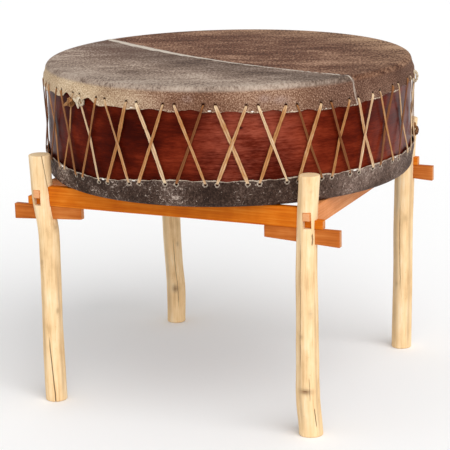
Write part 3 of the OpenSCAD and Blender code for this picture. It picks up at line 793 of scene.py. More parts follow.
def shell_skin(finish):
    """The bent plank: a profile with two rounded outer corners, turned round the drum's axis. The
    outer face ripples slightly with the grain, and steps a little at the scarf."""
    columns = 720
    z0, z1, r0, r1 = SHELL_LOW.z, SHELL_HIGH.z, SHELL_R - SHELL_WALL, SHELL_R - 0.1 * MM
    quarter = np.linspace(0, math.pi / 2, 8)
    er = SHELL_ROUND
    walls = np.linspace(z0 + er, z1 - er, 60)[1:-1]
    r = np.concatenate([
        r1 - er + er * np.sin(quarter), np.full(len(walls), r1), r1 - er + er * np.cos(quarter),
        np.full(4, r0),
    ])
    z = np.concatenate([
        z0 + er - er * np.cos(quarter), walls, z1 - er + er * np.sin(quarter),
        [z1, z1 - 5 * MM, z0 + 5 * MM, z0],
    ])
    a = np.linspace(0, 2 * math.pi, columns, endpoint=False)[None, :]
    outer = (r[:, None] > SHELL_R - 0.5 * MM) * 1.0
    rr = r[:, None] + outer * (0.18 * MM * ripple(a, z[:, None], 3, turns=5, rises=160) - 0.25 * MM)
    scarf = (a - 93.4 * DEG) * SHELL_R
    rr = rr + outer * 0.25 * MM * smooth(scarf / (1.5 * MM)) * smooth(1 - scarf / (60 * MM))
    points = np.stack([rr * np.cos(a), rr * np.sin(a), z[:, None] + 0 * a], -1).reshape(-1, 3)
    faces = [grid_quads(len(r), columns, wrap_rows=True)]
    return new_piece("bent_plank_shell", points, faces, finish, None, 40 * DEG)


# ---------------------------------------------------------------- lacing holes

def pair_angle(k):
    """Middle of a pair of holes: even steps round the drum, with a maker's small drift, and the
    pairs on the right a little ahead of their even places."""
    even = PAIR_START + np.asarray(k) * PITCH
    drift = 0.75 * np.sin(4 * (even + 76 * DEG)) + 0.25 * wobble(even, 4, low=5, whole=True)
    ahead = 2.3 * smooth((even / DEG + 34) / 26) * smooth((150 - even / DEG) / 90)
    return even + (drift - ahead) * DEG


def upper_hole_z(a):
    """Height of the upper holes: level, but pulled lower over a stretch at the front right."""
    pulled = 10.5 * MM * bell(turn_from(a, -34) / (17 * DEG))
    return UPPER_EDGE + UPPER_INSET - pulled + 1.1 * MM * wobble(a, 8, low=3, whole=True)


def lower_hole_z(a):
    """Height of the lower holes: level, but lower over a stretch at the front left."""
    pulled = 10 * MM * bell(turn_from(a, -112) / (12 * DEG))
    return LOWER_EDGE - LOWER_INSET + 2 * MM - pulled + 1.1 * MM * wobble(a, 9, low=3, whole=True)


# ---------------------------------------------------------------- hides

# Places where the hair has worn off the skirt: angle and half width in degrees, mm below the face.
BALD_SPOTS = [(-56, 1.2, 24), (-51.5, 1.6, 28), (-78, 1.0, 22)]
# Places of the grid's columns in one pitch, in mm from the middle of a pair: close by the holes.
COLUMN_STEPS = [-36.7, -32, -27.5, -23.5, -20, -17.3, -15, -13, -11, -9, -6.7, -3.6,
                0, 3.6, 6.7, 9, 11, 13, 15, 17.3, 20, 23.5, 27.5, 32]
HOLE_COLUMNS = (8, 16)
# Half width of the line of longer hair at places along the spine, in metres.
SPINE_PLACES = [-0.40, -0.30, -0.20, -0.10, 0.05, 0.33, 0.45]
SPINE_WIDTHS = [w * MM for w in (3, 7, 9, 5.5, 2.6, 2.0, 1.6)]
RIM_STEPS = 9
# Rows of the skirt: shares of the way from the rim's curve to the holes, and from there to the edge.
ABOVE_HOLES = [0.11, 0.25, 0.40, 0.55, 0.70, 0.88]
BELOW_HOLES = [0.30, 0.50, 0.64, 0.78, 0.90, 1.0]


def column_angles():
    """Angle of every column, and its distance in metres from the middle of its pair."""
    k = np.arange(PAIRS)
    middle = pair_angle(k)
    width = (np.roll(middle, -1) - middle) % (2 * math.pi)
    before = np.roll(width, 1)
    steps = np.array(COLUMN_STEPS) * MM / SHELL_R
    room = np.where(steps < 0, before[:, None], width[:, None]) / PITCH
    stretch = np.where(np.abs(steps) > 15.5 * MM / SHELL_R, 1.0, 0.0)
    edge = 15 * MM / SHELL_R
    outer = np.sign(steps) * (edge + (np.abs(steps) - edge) * (room * PITCH / 2 - edge) / (PITCH / 2 - edge))
    angles = middle[:, None] + np.where(stretch > 0, outer, steps)
    local = np.broadcast_to(steps * SHELL_R, angles.shape)
    return angles.ravel(), local.ravel()


def spine_distance(x, y):
    """Signed distance in metres from the hide's spine, a shallow parabola across the flat hide."""
    line = -0.072 - 0.434 * x + 0.421 * x * x - 0.012 * smooth((x - 0.31) / 0.07)
    slope = -0.434 + 0.842 * x
    return (y - line) / np.sqrt(1 + slope * slope)


def join_rings(start_a, count_a, start_b, count_b):
    """Faces between two rings of points, the second with as many points or twice as many."""
    i = np.arange(count_a)
    here, on = start_a + i, start_a + (i + 1) % count_a
    if count_b == count_a:
        up, up_on = start_b + i, start_b + (i + 1) % count_b
        return [np.stack([here, on, up_on, up], -1)]
    f0, f1, f2 = start_b + 2 * i, start_b + 2 * i + 1, start_b + (2 * i + 2) % count_b
    return [np.stack([here, f1, f0], -1), np.stack([here, on, f1], -1), np.stack([on, f2, f1], -1)]


def hide_skin(name, face_z, toward, thick, hole_z, edge_of, finish, rings, lip, lumps):
    """A hide stretched flat over one end of the shell and turned over its rim: rings from the
    centre out over the disc, round the rim, and along the skirt to a wavy free edge, then back
    inside. Each lacing hole is a real opening of eight sides, with a raised lip. toward is -1
    where the skirt hangs down and 1 where it stands up."""
    angles, local = column_angles()
    columns = len(angles)
    er = SHELL_ROUND + thick
    outer_r = SHELL_R + thick
    h_hole = (hole_z(angles) - face_z) * toward
    h_edge = (edge_of(angles, local) - face_z) * toward
    up = np.array(ABOVE_HOLES)[:, None]
    down = np.array(BELOW_HOLES)[:, None]
    heights = np.concatenate([er + up * (h_hole - er), h_hole[None], h_hole + down * (h_edge - h_hole)])
    skirt_a = np.broadcast_to(angles, heights.shape).copy()
    hole_row = len(ABOVE_HOLES)
    hole_columns = (np.arange(PAIRS)[:, None] * len(COLUMN_STEPS) + np.array(HOLE_COLUMNS)).ravel()
    # The eight points round each hole move onto a circle.
    for dr in (-1, 0, 1):
        for dc in (-1, 0, 1):
            if dr or dc:
                c = (hole_columns + dc) % columns
                bearing = math.atan2(dr, dc)
                skirt_a[hole_row + dr, c] = angles[hole_columns] + HOLE_R * math.cos(bearing) / outer_r
                heights[hole_row + dr, c] = h_hole[hole_columns] + HOLE_R * math.sin(bearing)
    from_hole = np.hypot(np.abs(local) - HALF_PAIR, heights - h_hole)
    flare = FLARE * smooth((heights - er) / (h_hole - 3 * MM - er))
    pucker = -1.3 * MM * bell(from_hole / (3.6 * MM)) + 0.8 * MM * bell(from_hole / (9 * MM))
    pucker = pucker + lip * bell((from_hole - HOLE_R - 0.9 * MM) / (1.1 * MM))
    to_edge = smooth((heights - h_hole) / (h_edge - h_hole))
    curl = 0.9 * MM * to_edge * (0.4 + wobble(skirt_a, 21, low=9, whole=True))
    folds = ripple(skirt_a, heights, 22, turns=40, rises=90)
    creases = 0.5 * ripple(skirt_a, heights, 23, turns=110, rises=280)
    skirt_r = outer_r + flare + pucker + curl + lumps * (folds + creases) * smooth(heights / er - 0.6)

    half = angles[::2]
    radii = np.linspace(5 * MM, outer_r - er - 6 * MM, rings)
    bend = np.linspace(0, math.pi / 2, RIM_STEPS)
    layers = []

    def add(a, r, h, inner=False):
        layers.append((a, r + 0 * a, h + 0 * a, inner))

    for r in radii:
        sag = 0.15 * MM * ripple(half, r * 9, 31, turns=4, rises=3)
        add(half, r, sag * smooth((outer_r - er - r) / 0.05))
    add(angles, outer_r - er - 2 * MM, 0 * angles)
    for b in bend:
        swell = 0.3 * MM * math.sin(b) * ripple(angles, 0.1, 33, turns=30, rises=3)
        add(angles, outer_r - er + er * math.sin(b) + swell, er - er * math.cos(b))
    first_skirt = len(layers)
    for row in range(len(heights)):
        add(skirt_a[row], skirt_r[row], heights[row])
    add(skirt_a[-1], skirt_r[-1] - thick / 2, heights[-1] + 0.5 * MM)
    first_inner = len(layers)
    for row in range(len(heights) - 1, -1, -1):
        add(skirt_a[row], skirt_r[row] - thick, heights[row], True)
    inner_er = er - thick
    for b in bend[::-1]:
        add(angles, outer_r - er + inner_er * math.sin(b), er - inner_er * math.cos(b), True)
    for r in (0.33, 0.22, 0.11, 0.03):
        add(half, r, thick + 0 * half, True)

    starts, points, hs, rs, turns = [], [], [], [], []
    total = 0
    for a, r, h, inner in layers:
        starts.append(total)
        total += len(a)
        points.append(np.stack([r * np.cos(a), r * np.sin(a), face_z + toward * h], -1))
        hs.append(h)
        rs.append(r)
        turns.append(a)
    points.append(np.array([[0, 0, face_z], [0, 0, face_z + toward * thick]]))
    points = np.concatenate(points)
    h = np.concatenate(hs)
    r = np.concatenate(rs)
    a = np.concatenate(turns)

    faces = []
    outer_hole = first_skirt + hole_row
    inner_hole = first_inner + (len(heights) - 1 - hole_row)
    open_rows = {outer_hole - 1, outer_hole, inner_hole - 1, inner_hole}
    for i in range(len(layers) - 1):
        n, m = len(layers[i][0]), len(layers[i + 1][0])
        if m < n:
            part = [f[:, ::-1] for f in join_rings(starts[i + 1], m, starts[i], n)]
        else:
            part = join_rings(starts[i], n, starts[i + 1], m)
        if i in open_rows:
            keep = np.ones(n, bool)
            keep[hole_columns] = keep[hole_columns - 1] = False
            part = [part[0][keep]]
        faces += part
    # Walls of the holes, from the outer skin's eight points to the inner skin's.
    around = [(0, 1), (1, 1), (1, 0), (1, -1), (0, -1), (-1, -1), (-1, 0), (-1, 1)]
    outside = [starts[outer_hole] + dr * columns + (hole_columns + dc) % columns for dr, dc in around]
    inside = [starts[inner_hole] - dr * columns + (hole_columns + dc) % columns for dr, dc in around]
    outside = np.stack(outside, -1)
    inside = np.stack(inside, -1)
    wall = np.stack([outside, inside, np.roll(inside, -1, 1), np.roll(outside, -1, 1)], -1).reshape(-1, 4)
    faces.append(wall[:, ::-1])
    faces.append(fan(0, len(half), total, False))
    faces.append(fan(starts[-1], len(half), total + 1, True))
    if toward < 0:
        faces = [f[:, ::-1] for f in faces]

    # The middle points of the holes belong to no face, and are dropped.
    used = np.zeros(total + 2, bool)
    for f in faces:
        used[f.ravel()] = True
    number = np.cumsum(used) - 1
    faces = [number[f] for f in faces]

    rim = outer_r - er
    down = np.maximum(h, 0)
    round_rim = er * np.arccos(np.clip(1 - np.minimum(down, er) / er, -1, 1))
    # Distance from the middle, measured over the hide as if it were laid out flat.
    rho = np.where(r < rim, r, rim + round_rim + np.maximum(down - er, 0))
    flat = np.stack([rho * np.cos(a), rho * np.sin(a), 0 * a], -1)
    flat = np.concatenate([flat, [[0, 0, 0], [0, 0, 0]]])
    spine = spine_distance(flat[:, 0], flat[:, 1])

    def grown(v):
        """The values of the two middle points are 0."""
        return np.concatenate([v, [0, 0]])

    turned = grown(a)
    from_pairs = (turned[:, None] - pair_angle(np.arange(PAIRS))[None] + math.pi) % (2 * math.pi) - math.pi
    nearest = np.abs(from_pairs[:-2]).min(1) * SHELL_R
    to_hole = np.hypot(nearest - HALF_PAIR, h - (hole_z(a) - face_z) * toward)
    edge_gap = (edge_of(a) - face_z) * toward - h
    on_skirt = smooth((rho - (rim + er * 0.45)) / (20 * MM))
    round_hole = bell((to_hole - HOLE_R - 0.5 * MM) / (1.5 * MM)) * (1.3 if lip else 0.75)
    raw = np.maximum(bell(edge_gap / (1.6 * MM)) * on_skirt, round_hole)
    inner_flag = np.concatenate([np.full(len(layer[0]), float(layer[3])) for layer in layers])
    # Mask of painted shade: near the lacing holes and over all the hide's inner faces.
    painted_shade_holes_inside = np.maximum(1 - smooth((to_hole - HOLE_R * 0.75) / (1.3 * MM)), inner_flag)
    ridge_width = np.interp(flat[:, 0], SPINE_PLACES, SPINE_WIDTHS)
    bald = []
    for where, size, below in BALD_SPOTS:
        bald.append(bell(turn_from(turned, where) / (size * DEG)) * bell((grown(h) / MM - below) / 5))
    chance = np.random.default_rng(72 + rings).uniform(0.1, 1, PAIRS)
    # Near-white patches on the free edge between the holes of some pairs.
    white_edge_bits = chance[np.abs(from_pairs).argmin(1)] * bell(grown(nearest) / (4 * MM))
    white_edge_bits = white_edge_bits * bell((grown(edge_gap) - 1 * MM) / (1.6 * MM)) * grown(on_skirt)
    near_rim = bell((flat[:, 0] ** 2 + flat[:, 1] ** 2 - rim ** 2) / 0.035)
    to_right = turn_from(turned, -66) / DEG
    values = {
        "flat": flat, "spine": spine, "ridge": bell(spine / ridge_width), "skirt": grown(on_skirt),
        "raw": grown(raw), "painted_shade_holes_inside": grown(painted_shade_holes_inside), "pale": bell(turn_from(turned, -128) / (24 * DEG)),
        "dusk": smooth((to_right - 6) / 38) * smooth((110 - to_right) / 60),
        "bald": np.maximum.reduce(bald), "white_edge_bits": white_edge_bits,
        "spine_place": np.stack([flat[:, 0], spine, 0 * spine], -1),
        # Painted highlight near the front of the rim.
        "painted_rim_highlight": near_rim * bell(turn_from(turned, -105) / (38 * DEG)),
        "rust": bell(np.hypot((flat[:, 0] + 0.31) / 0.13, (flat[:, 1] - 0.03) / 0.12)),
        # Painted sheen near the back of the rim.
        "gloss": near_rim * bell(turn_from(turned, 55) / (38 * DEG)),
    }
    values = {k: v[used] for k, v in values.items()}
    if toward < 0:
        outer_face = (grown(inner_flag) < 0.5) * (grown(h) < er * 0.9)
        points[:, 2] += 1.1 * MM * bell(spine / np.maximum(ridge_width, 4.5 * MM)) * outer_face
    return new_piece(name, points[used], faces, finish, values, 55 * DEG)


def scallop(local):
    """1 in the middle of a pair of holes, -1 halfway to the next, 0 where no place in the pair is given."""
    return 0.0 if local is None else np.cos(np.clip(local / (36.7 * MM), -1, 1) * math.pi)


def upper_edge(a, local=None):
    """Free edge of the upper skirt: it sags at each pair of holes, rises between them, and is
    cut up in two arches beside the knots."""
    arches = 8 * MM * bell(turn_from(a, -122.6) / (1.7 * DEG))
    arches = arches + 6 * MM * bell(turn_from(a, -111.2) / (1.6 * DEG))
    uneven = 0.9 * MM * wobble(a, 14, low=11, whole=True)
    uneven = uneven + 0.9 * MM * wobble(a, 16, low=43, waves=3, whole=True)
    return upper_hole_z(a) - UPPER_INSET - 2.1 * MM * scallop(local) + uneven + arches + 0.5 * MM


def lower_edge(a, local=None):
    """Free edge of the lower skirt: drawn up a little at each pair of holes."""
    uneven = 0.7 * MM * wobble(a, 15, low=11, whole=True)
    uneven = uneven + 0.8 * MM * wobble(a, 17, low=43, waves=3, whole=True)
    return lower_hole_z(a) + LOWER_INSET - 1 * MM + 1.2 * MM * scallop(local) + uneven


# ---------------------------------------------------------------- laces, knots and loops

LACE_HALF_W = 3.1 * MM
LACE_HALF_T = 0.95 * MM
LACE_SLACK = 1.7 * MM
INSIDE_R = SHELL_R + 1.9 * MM
UNDER_R = SHELL_R + 3.3 * MM
OVER_R = UNDER_R + 2 * LACE_HALF_T + 0.5 * MM
EXIT_R = SHELL_R + FLARE + UPPER_HIDE_T + LACE_HALF_T + 0.25 * MM


def polar(a, r, z):
    return np.stack([r * np.cos(a), r * np.sin(a), z + 0 * a], -1)


def lace_stops(first, cross_r):
    """Stops of one lace, as arrays: places, the way its flat side looks, its half width and half
    thickness, and a tone for each stretch. It goes behind an upper pair, down to the next lower
    pair, behind that and up again, all round the drum."""
    k = np.arange(first, first + PAIRS, 2)
    rng = np.random.default_rng(40 + first)
    places, looks, widths, thicks, tones = [], [], [], [], []

    def stop(a, r, z, out, up, width, thick, tone):
        places.append(polar(a, r, z))
        looks.append(out * polar(a, 1.0, 0) + up * np.array([0, 0, 1.0]))
        widths.append(width + 0 * a)
        thicks.append(thick + 0 * a)
        tones.append(tone + 0 * a)

    def strand(top_a, bottom_a, upward):
        """One straight stretch across the shell, between an upper and a lower hole."""
        top_z, bottom_z = upper_hole_z(top_a) - LACE_SLACK, lower_hole_z(bottom_a) + LACE_SLACK
        tone = rng.uniform(0.0, 0.95, len(k))
        turn = rng.normal(0, 0.30, len(k))
        broad = rng.uniform(0.74, 1.34, len(k))
        taper = rng.uniform(-0.16, 0.16, len(k))
        shares = np.array([0.0, 0.10, 0.3, 0.5, 0.7, 0.92, 1.0])
        radii = np.array([EXIT_R, EXIT_R, 0, cross_r, 0, EXIT_R + 0.5 * MM, EXIT_R + 0.3 * MM])
        radii[2] = (EXIT_R + cross_r) / 2
        radii[4] = (EXIT_R + cross_r) / 2
        breadth = np.array([0.72, 0.95, 1.0, 1.0, 1.0, 0.95, 0.72])
        tilts = np.array([0, 0.4, 1, 0.6, -0.6, -0.3, 0])
        order = range(7)[::-1] if upward else range(7)
        for i in order:
            a = top_a + (bottom_a - top_a) * shares[i]
            z = top_z + (bottom_z - top_z) * shares[i]
            lean = {0: 1.0, 6: -1.0}.get(i, 0.0)
            places.append(polar(a, radii[i], z))
            side = polar(a + math.pi / 2, 1.0, 0)
            looks.append(polar(a, 1.0, 0) + (turn * tilts[i])[:, None] * side + lean * np.array([0, 0, 1.0]))
            widths.append(LACE_HALF_W * breadth[i] * broad * (1 + taper * (2 * shares[i] - 1)))
            thicks.append(LACE_HALF_T + 0 * a + (0.35 * MM if i in (0, 6) else 0))
            # Painted highlight: the tone rises by 0.30 at both ends of a strand, where it bends into its
            # hole.
            tones.append(tone + (0.30 if i in (0, 6) else 0))

    a, b, c = pair_angle(k), pair_angle(k + 1), pair_angle(k + 2)
    b = a + (b - a) % (2 * math.pi)
    c = b + (c - b) % (2 * math.pi)
    half = HALF_PAIR / SHELL_R
    narrow, bunched = 1.5 * MM, 1.3 * MM
    stop(a - half, INSIDE_R, upper_hole_z(a) - LACE_SLACK, 0, 1, narrow, bunched, 0.4)
    stop(a + half, INSIDE_R, upper_hole_z(a) - LACE_SLACK, 0, 1, narrow, bunched, 0.4)
    strand(a + half, b - half, False)
    stop(b - half, INSIDE_R, lower_hole_z(b) + LACE_SLACK, 0, -1, narrow, bunched, 0.4)
    stop(b + half, INSIDE_R, lower_hole_z(b) + LACE_SLACK, 0, -1, narrow, bunched, 0.4)
    strand(c - half, b + half, True)
    stops = []
    for parts in (places, looks, widths, thicks, tones):
        stops.append(np.stack(parts, 1).reshape((-1,) + np.shape(parts[0])[1:]))
    return stops


def unit(v):
    return v / np.maximum(np.linalg.norm(v, axis=-1, keepdims=True), 1e-12)


def run_along(stops, step, blur, closed=True):
    """Even, rounded path through the stops, with their other values carried along: straight
    stretches, then a moving average over blur metres."""
    if closed:
        stops = [np.concatenate([v, v[:1]]) for v in stops]
    gaps = np.linalg.norm(np.diff(stops[0], axis=0), axis=1)
    length = np.concatenate([[0], np.cumsum(gaps)])
    n = int(length[-1] / step)
    s = np.linspace(0, length[-1], n, endpoint=not closed)
    half = max(1, int(blur / step / 2))
    out = []
    for v in stops:
        v = np.asarray(v, float)
        wide = v.reshape(len(v), -1)
        line = np.stack([np.interp(s, length, wide[:, j]) for j in range(wide.shape[1])], -1)
        mode = "wrap" if closed else "edge"
        padded = np.pad(line, ((half, half), (0, 0)), mode=mode)
        weights = np.hanning(2 * half + 3)[1:-1]
        weights /= weights.sum()
        line = np.stack([np.convolve(padded[:, j], weights, "valid") for j in range(line.shape[1])], -1)
        out.append(line.reshape((n,) + v.shape[1:]))
    return out, s


def squared(v, flatness=0.75):
    """Draws a number towards 1 or -1, which makes a round section squarer."""
    return np.sign(v) * np.abs(v) ** flatness


def thong(name, stops, finish, sides=16, step=1.9 * MM, blur=6 * MM, closed=True, groove=0.0):
    """Flat thong along a route: a rounded oblong section, its thin way along the look direction,
    carried along the route. Corner points follow cos and sin, each drawn towards 1 to square it,
    and a groove runs down the middle of the outer side."""
    (place, look, width, thick, tone), s = run_along(stops, step, blur, closed)
    if closed:
        t = unit(np.roll(place, -1, 0) - np.roll(place, 1, 0))
    else:
        t = unit(np.gradient(place, axis=0))
    u = unit(look - (look * t).sum(-1, keepdims=True) * t)
    w = np.cross(t, u)
    p = np.arange(sides) / sides * 2 * math.pi
    thin, broad = squared(np.cos(p)), squared(np.sin(p))
    dished = thin - (thin > 0) * groove * bell(broad / 0.3)
    uneven = (1 + 0.13 * wobble(s * 60, 51) + 0.05 * wobble(s * 400, 52))[:, None, None]
    rings = (
        place[:, None]
        + thick[:, None, None] * dished[None, :, None] * u[:, None]
        + width[:, None, None] * broad[None, :, None] * w[:, None] * uneven
    )
    rows = len(rings)
    round_at = np.broadcast_to(p / (2 * math.pi) * 14 * MM, (rows, sides))
    along = np.stack([round_at, np.broadcast_to(s[:, None], (rows, sides)), 0 * round_at], -1)
    tone = np.broadcast_to(tone[:, None], (rows, sides))
    # Mask of painted shade: the thong's two edges and the groove down its middle.
    painted_edge_groove_shade = np.maximum(np.abs(broad) ** 5, (thin > 0) * bell(broad / 0.16) * groove * 2.2)
    painted_edge_groove_shade = np.broadcast_to(painted_edge_groove_shade, (rows, sides))
    values = {"along": along, "tone": tone, "painted_edge_groove_shade": np.clip(painted_edge_groove_shade, 0, 1)}
    if not closed:
        return closed_tube(name, rings, finish, values)
    listed = {key: v.reshape((rows * sides,) + v.shape[2:]) for key, v in values.items()}
    faces = [grid_quads(rows, sides, wrap_rows=True)]
    return new_piece(name, rings.reshape(-1, 3), faces, finish, listed)


def hitch(name, top_a, bottom_a, middle_z, size, finish, half_w, tails, tone):
    """Knot tied round a strand just below the upper hide: a thong that winds twice round the
    strand and three times over itself, with a loose tail at each end. At the turn p the winding
    is 0.9 x size x (1 + 0.32 cos 1.5p) from the strand and size x 1.15 sin 1.5p along it."""
    bottom_a = top_a + (bottom_a - top_a + math.pi) % (2 * math.pi) - math.pi
    share = (upper_hole_z(top_a) - middle_z) / (upper_hole_z(top_a) - lower_hole_z(bottom_a))
    a = top_a + (bottom_a - top_a) * share
    out = np.array([math.cos(a), math.sin(a), 0])
    middle = out * (EXIT_R + 0.6 * MM) + np.array([0, 0, middle_z])
    way = polar(bottom_a, 1.0, 0) * SHELL_R - polar(top_a, 1.0, 0) * SHELL_R
    axis = unit(np.array([0, 0, upper_hole_z(top_a) - lower_hole_z(bottom_a)]) - way)
    side = np.cross(axis, out)
    p = np.linspace(0, 4 * math.pi, 90)[:-1]
    reach = size * (1 + 0.32 * np.cos(1.5 * p))
    ring = np.cos(p)[:, None] * out + np.sin(p)[:, None] * side
    winding = middle + reach[:, None] * ring * 0.9 + (size * 1.15 * np.sin(1.5 * p))[:, None] * axis
    looks = unit(winding - middle)
    ways = np.array([side, axis, out])
    up_tail, down_tail = (np.array(tail) * MM @ ways for tail in tails)
    points = np.concatenate([
        [winding[0] + up_tail, winding[0] + up_tail * 0.45], winding,
        [winding[-1] + down_tail * 0.45, winding[-1] + down_tail],
    ])
    looks = np.concatenate([[out, out], looks, [out, out]])
    n = len(points)
    widths = np.full(n, half_w)
    widths[[0, -1]] = half_w * 0.4
    route = [points, looks, widths, np.full(n, 1.1 * MM), np.full(n, tone)]
    return thong(name, route, finish, sides=12, step=0.7 * MM, blur=2.2 * MM, closed=False, groove=0.3)


def ring_loop(name, angle, z, middle_r, half_out, half_up, turned, finish, half_w, half_t, twist, tone):
    """Closed loop of two thongs twisted about each other. Its middle line is an oval, half_out wide
    and half_up high, in an upright plane turned from the radial one towards the front."""
    out = np.array([math.cos(angle), math.sin(angle), 0])
    ahead = np.array([math.cos(angle + turned), math.sin(angle + turned), 0])
    side = np.array([-ahead[1], ahead[0], 0])
    up = np.array([0, 0, 1.0])
    p = np.linspace(0, 2 * math.pi, 91)[:-1]
    dent = 1 - 0.10 * bell((p - 4.0) / 0.5) + 0.05 * np.sin(3 * p + 1)
    middle = middle_r * out + z * up
    arm = np.cos(p)[:, None] * half_out * ahead + np.sin(p)[:, None] * half_up * up
    line = middle + arm * dent[:, None] + (0.9 * MM * np.sin(2 * p))[:, None] * side
    parts = []
    for i in range(2):
        turn = twist * p + i * math.pi
        lay = np.cos(turn)[:, None] * unit(arm) + np.sin(turn)[:, None] * side
        sizes = [np.full(len(p), v) for v in (half_w, half_t, tone + 0.1 * i)]
        route = [line + half_t * 1.05 * lay, lay, *sizes]
        parts.append(thong(f"{name}_{i}", route, finish, sides=12, step=0.7 * MM, blur=1.6 * MM, groove=0.25))
    return parts


def wrap(name, loop_angle, z, middle_r, radius, height, finish, half_w, tone, ends):
    """Wrapping that closes a loop: turns of thong round an upright axis, and two loose ends."""
    out = np.array([math.cos(loop_angle), math.sin(loop_angle), 0])
    side = np.array([-out[1], out[0], 0])
    up = np.array([0, 0, 1.0])
    p = np.linspace(0, 7 * math.pi, 130)
    ring = np.cos(p)[:, None] * out + np.sin(p)[:, None] * side
    swell = 1 + 0.15 * np.sin(p * 0.7)
    line = middle_r * out + (z + height * (p / p[-1] - 0.5))[:, None] * up + radius * swell[:, None] * ring
    ways = np.array([side, up, out])
    first, last = (np.array(end) * MM @ ways for end in ends)
    points = np.concatenate([[line[0] + first], line, [line[-1] + last]])
    looks = np.concatenate([[out], ring, [out]])
    n = len(points)
    route = [points, looks, np.full(n, half_w), np.full(n, 0.9 * MM), np.full(n, tone)]
    return thong(name, route, finish, sides=12, step=0.7 * MM, blur=2 * MM, closed=False, groove=0.3)


def merged(name, parts):
    """Joins several meshes into one piece."""
    first = parts[0]
    with bpy.context.temp_override(active_object=first, selected_editable_objects=parts):
        bpy.ops.object.join()
    first.name = first.data.name = name
    return first


# ---------------------------------------------------------------- the object

def settle(piece, body, node):
    """The piece rides on a body and stands for a CAD node."""
    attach(piece, body)
    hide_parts(node)


for i, corner in enumerate(CORNERS):
    pole = pole_skin(corner + "_pole", corner)
    cut(pole, mortise_cutters(corner))
    pole.data.materials.clear()
    pole.data.materials.append(pole_finish("peeled_pole_" + corner, 0.37 * i + 0.11))
    settle(pole, "stand", "leg_" + corner)

# Deep, mid and light tone of each stain.
ORANGE = ((0.42, 0.075, 0.002), (0.59, 0.138, 0.004), (0.71, 0.22, 0.020))
# The side rails' orange, paler than the long rails': painted light on the right rail's outer face.
PAINTED_LIT_ORANGE = ((0.52, 0.155, 0.030), (0.70, 0.26, 0.085), (0.82, 0.38, 0.17))
BROWN = ((0.31, 0.070, 0.008), (0.46, 0.120, 0.018), (0.60, 0.20, 0.045))
lengthways = stained_finish("stained_rail_long", 0, *ORANGE, 0.0)
# Finish of the side rails, made paler as painted light.
painted_lit_side_finish = stained_finish("stained_rail_side_painted_lit", 1, *PAINTED_LIT_ORANGE, 0.7)
RAILS = [
    ("front", long_rail, -RAIL_OFF, lengthways), ("back", long_rail, RAIL_OFF, lengthways),
    ("left", side_rail, -RAIL_OFF, painted_lit_side_finish), ("right", side_rail, RAIL_OFF, painted_lit_side_finish),
]
for i, (place, make, offset, finish) in enumerate(RAILS):
    rail = make(place + "_rail_board", offset, finish, 61 + i)
    settle(rail, "stand", "rail_" + place)

wedge_wood = stained_finish("stained_wedge_wood", 0, *BROWN, 1.9)
for i, corner in enumerate(CORNERS):
    stations, half_t, y = wedge_stations(corner)
    wedge = board(corner + "_driven_wedge", stations, half_t, False, y, wedge_wood, 70 + i, sway=0.15 * MM)
    settle(wedge, "wedge_" + corner, "wedge_" + corner)

settle(shell_skin(shell_finish()), "drum", "shell")
upper = hide_skin(
    "upper_hide", UPPER_FACE, -1, UPPER_HIDE_T, upper_hole_z, upper_edge, upper_hide_finish(),
    rings=66, lip=0.0, lumps=0.35 * MM,
)
settle(upper, "drum", "top_head")
lower = hide_skin(
    "lower_hide", LOWER_FACE, 1, LOWER_HIDE_T, lower_hole_z, lower_edge, lower_hide_finish(),
    rings=36, lip=0.9 * MM, lumps=0.75 * MM,
)
settle(lower, "drum", "bottom_head")

rawhide = thong_finish("rawhide_lace_finish", (0.20, 0.064, 0.015), (0.47, 0.210, 0.066), (0.85, 0.68, 0.45))
over_lace = thong("over_lace_thong", lace_stops(0, OVER_R), rawhide, groove=0.35)
under_lace = thong("under_lace_thong", lace_stops(1, UNDER_R), rawhide, groove=0.35)
settle(over_lace, "drum", "lace_over")
settle(under_lace, "drum", "lace_under")

pale = thong_finish("pale_rawhide_finish", (0.38, 0.29, 0.18), (0.72, 0.61, 0.44), (0.93, 0.87, 0.74))
brown = thong_finish("brown_leather_finish", (0.080, 0.028, 0.009), (0.34, 0.150, 0.050), (0.62, 0.36, 0.15))
last = pair_angle(PAIRS - 1)
half_turn = HALF_PAIR / SHELL_R
knot = hitch(
    "pale_rawhide_knot", last + half_turn, pair_angle(0) - half_turn, UPPER_EDGE + 0.5 * MM, 6.4 * MM,
    pale, 3.1 * MM, tails=((-7, 9, 2), (4, -11, 2)), tone=0.75,
)
settle(knot, "drum", "rawhide_knot")
knot = hitch(
    "brown_leather_knot", last - half_turn, pair_angle(PAIRS - 2) + half_turn, UPPER_EDGE - 5 * MM, 6.2 * MM,
    brown, 3.3 * MM, tails=((3, 8, 1), (-9, -9, 2)), tone=0.72,
)
settle(knot, "drum", "leather_knot")

low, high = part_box("carry_loop")
where = math.atan2(low.y + high.y, low.x + high.x)
middle_z = (low.z + high.z) / 2
middle_r = math.hypot(low.x + high.x, low.y + high.y) / 2
carry = ring_loop(
    "carry", where, middle_z, middle_r + 1.2 * MM, 5.2 * MM, 11 * MM, 12 * DEG,
    pale, 1.7 * MM, 1.35 * MM, twist=5, tone=0.62,
)
settle(merged("twisted_carry_loop", carry), "drum", "carry_loop")

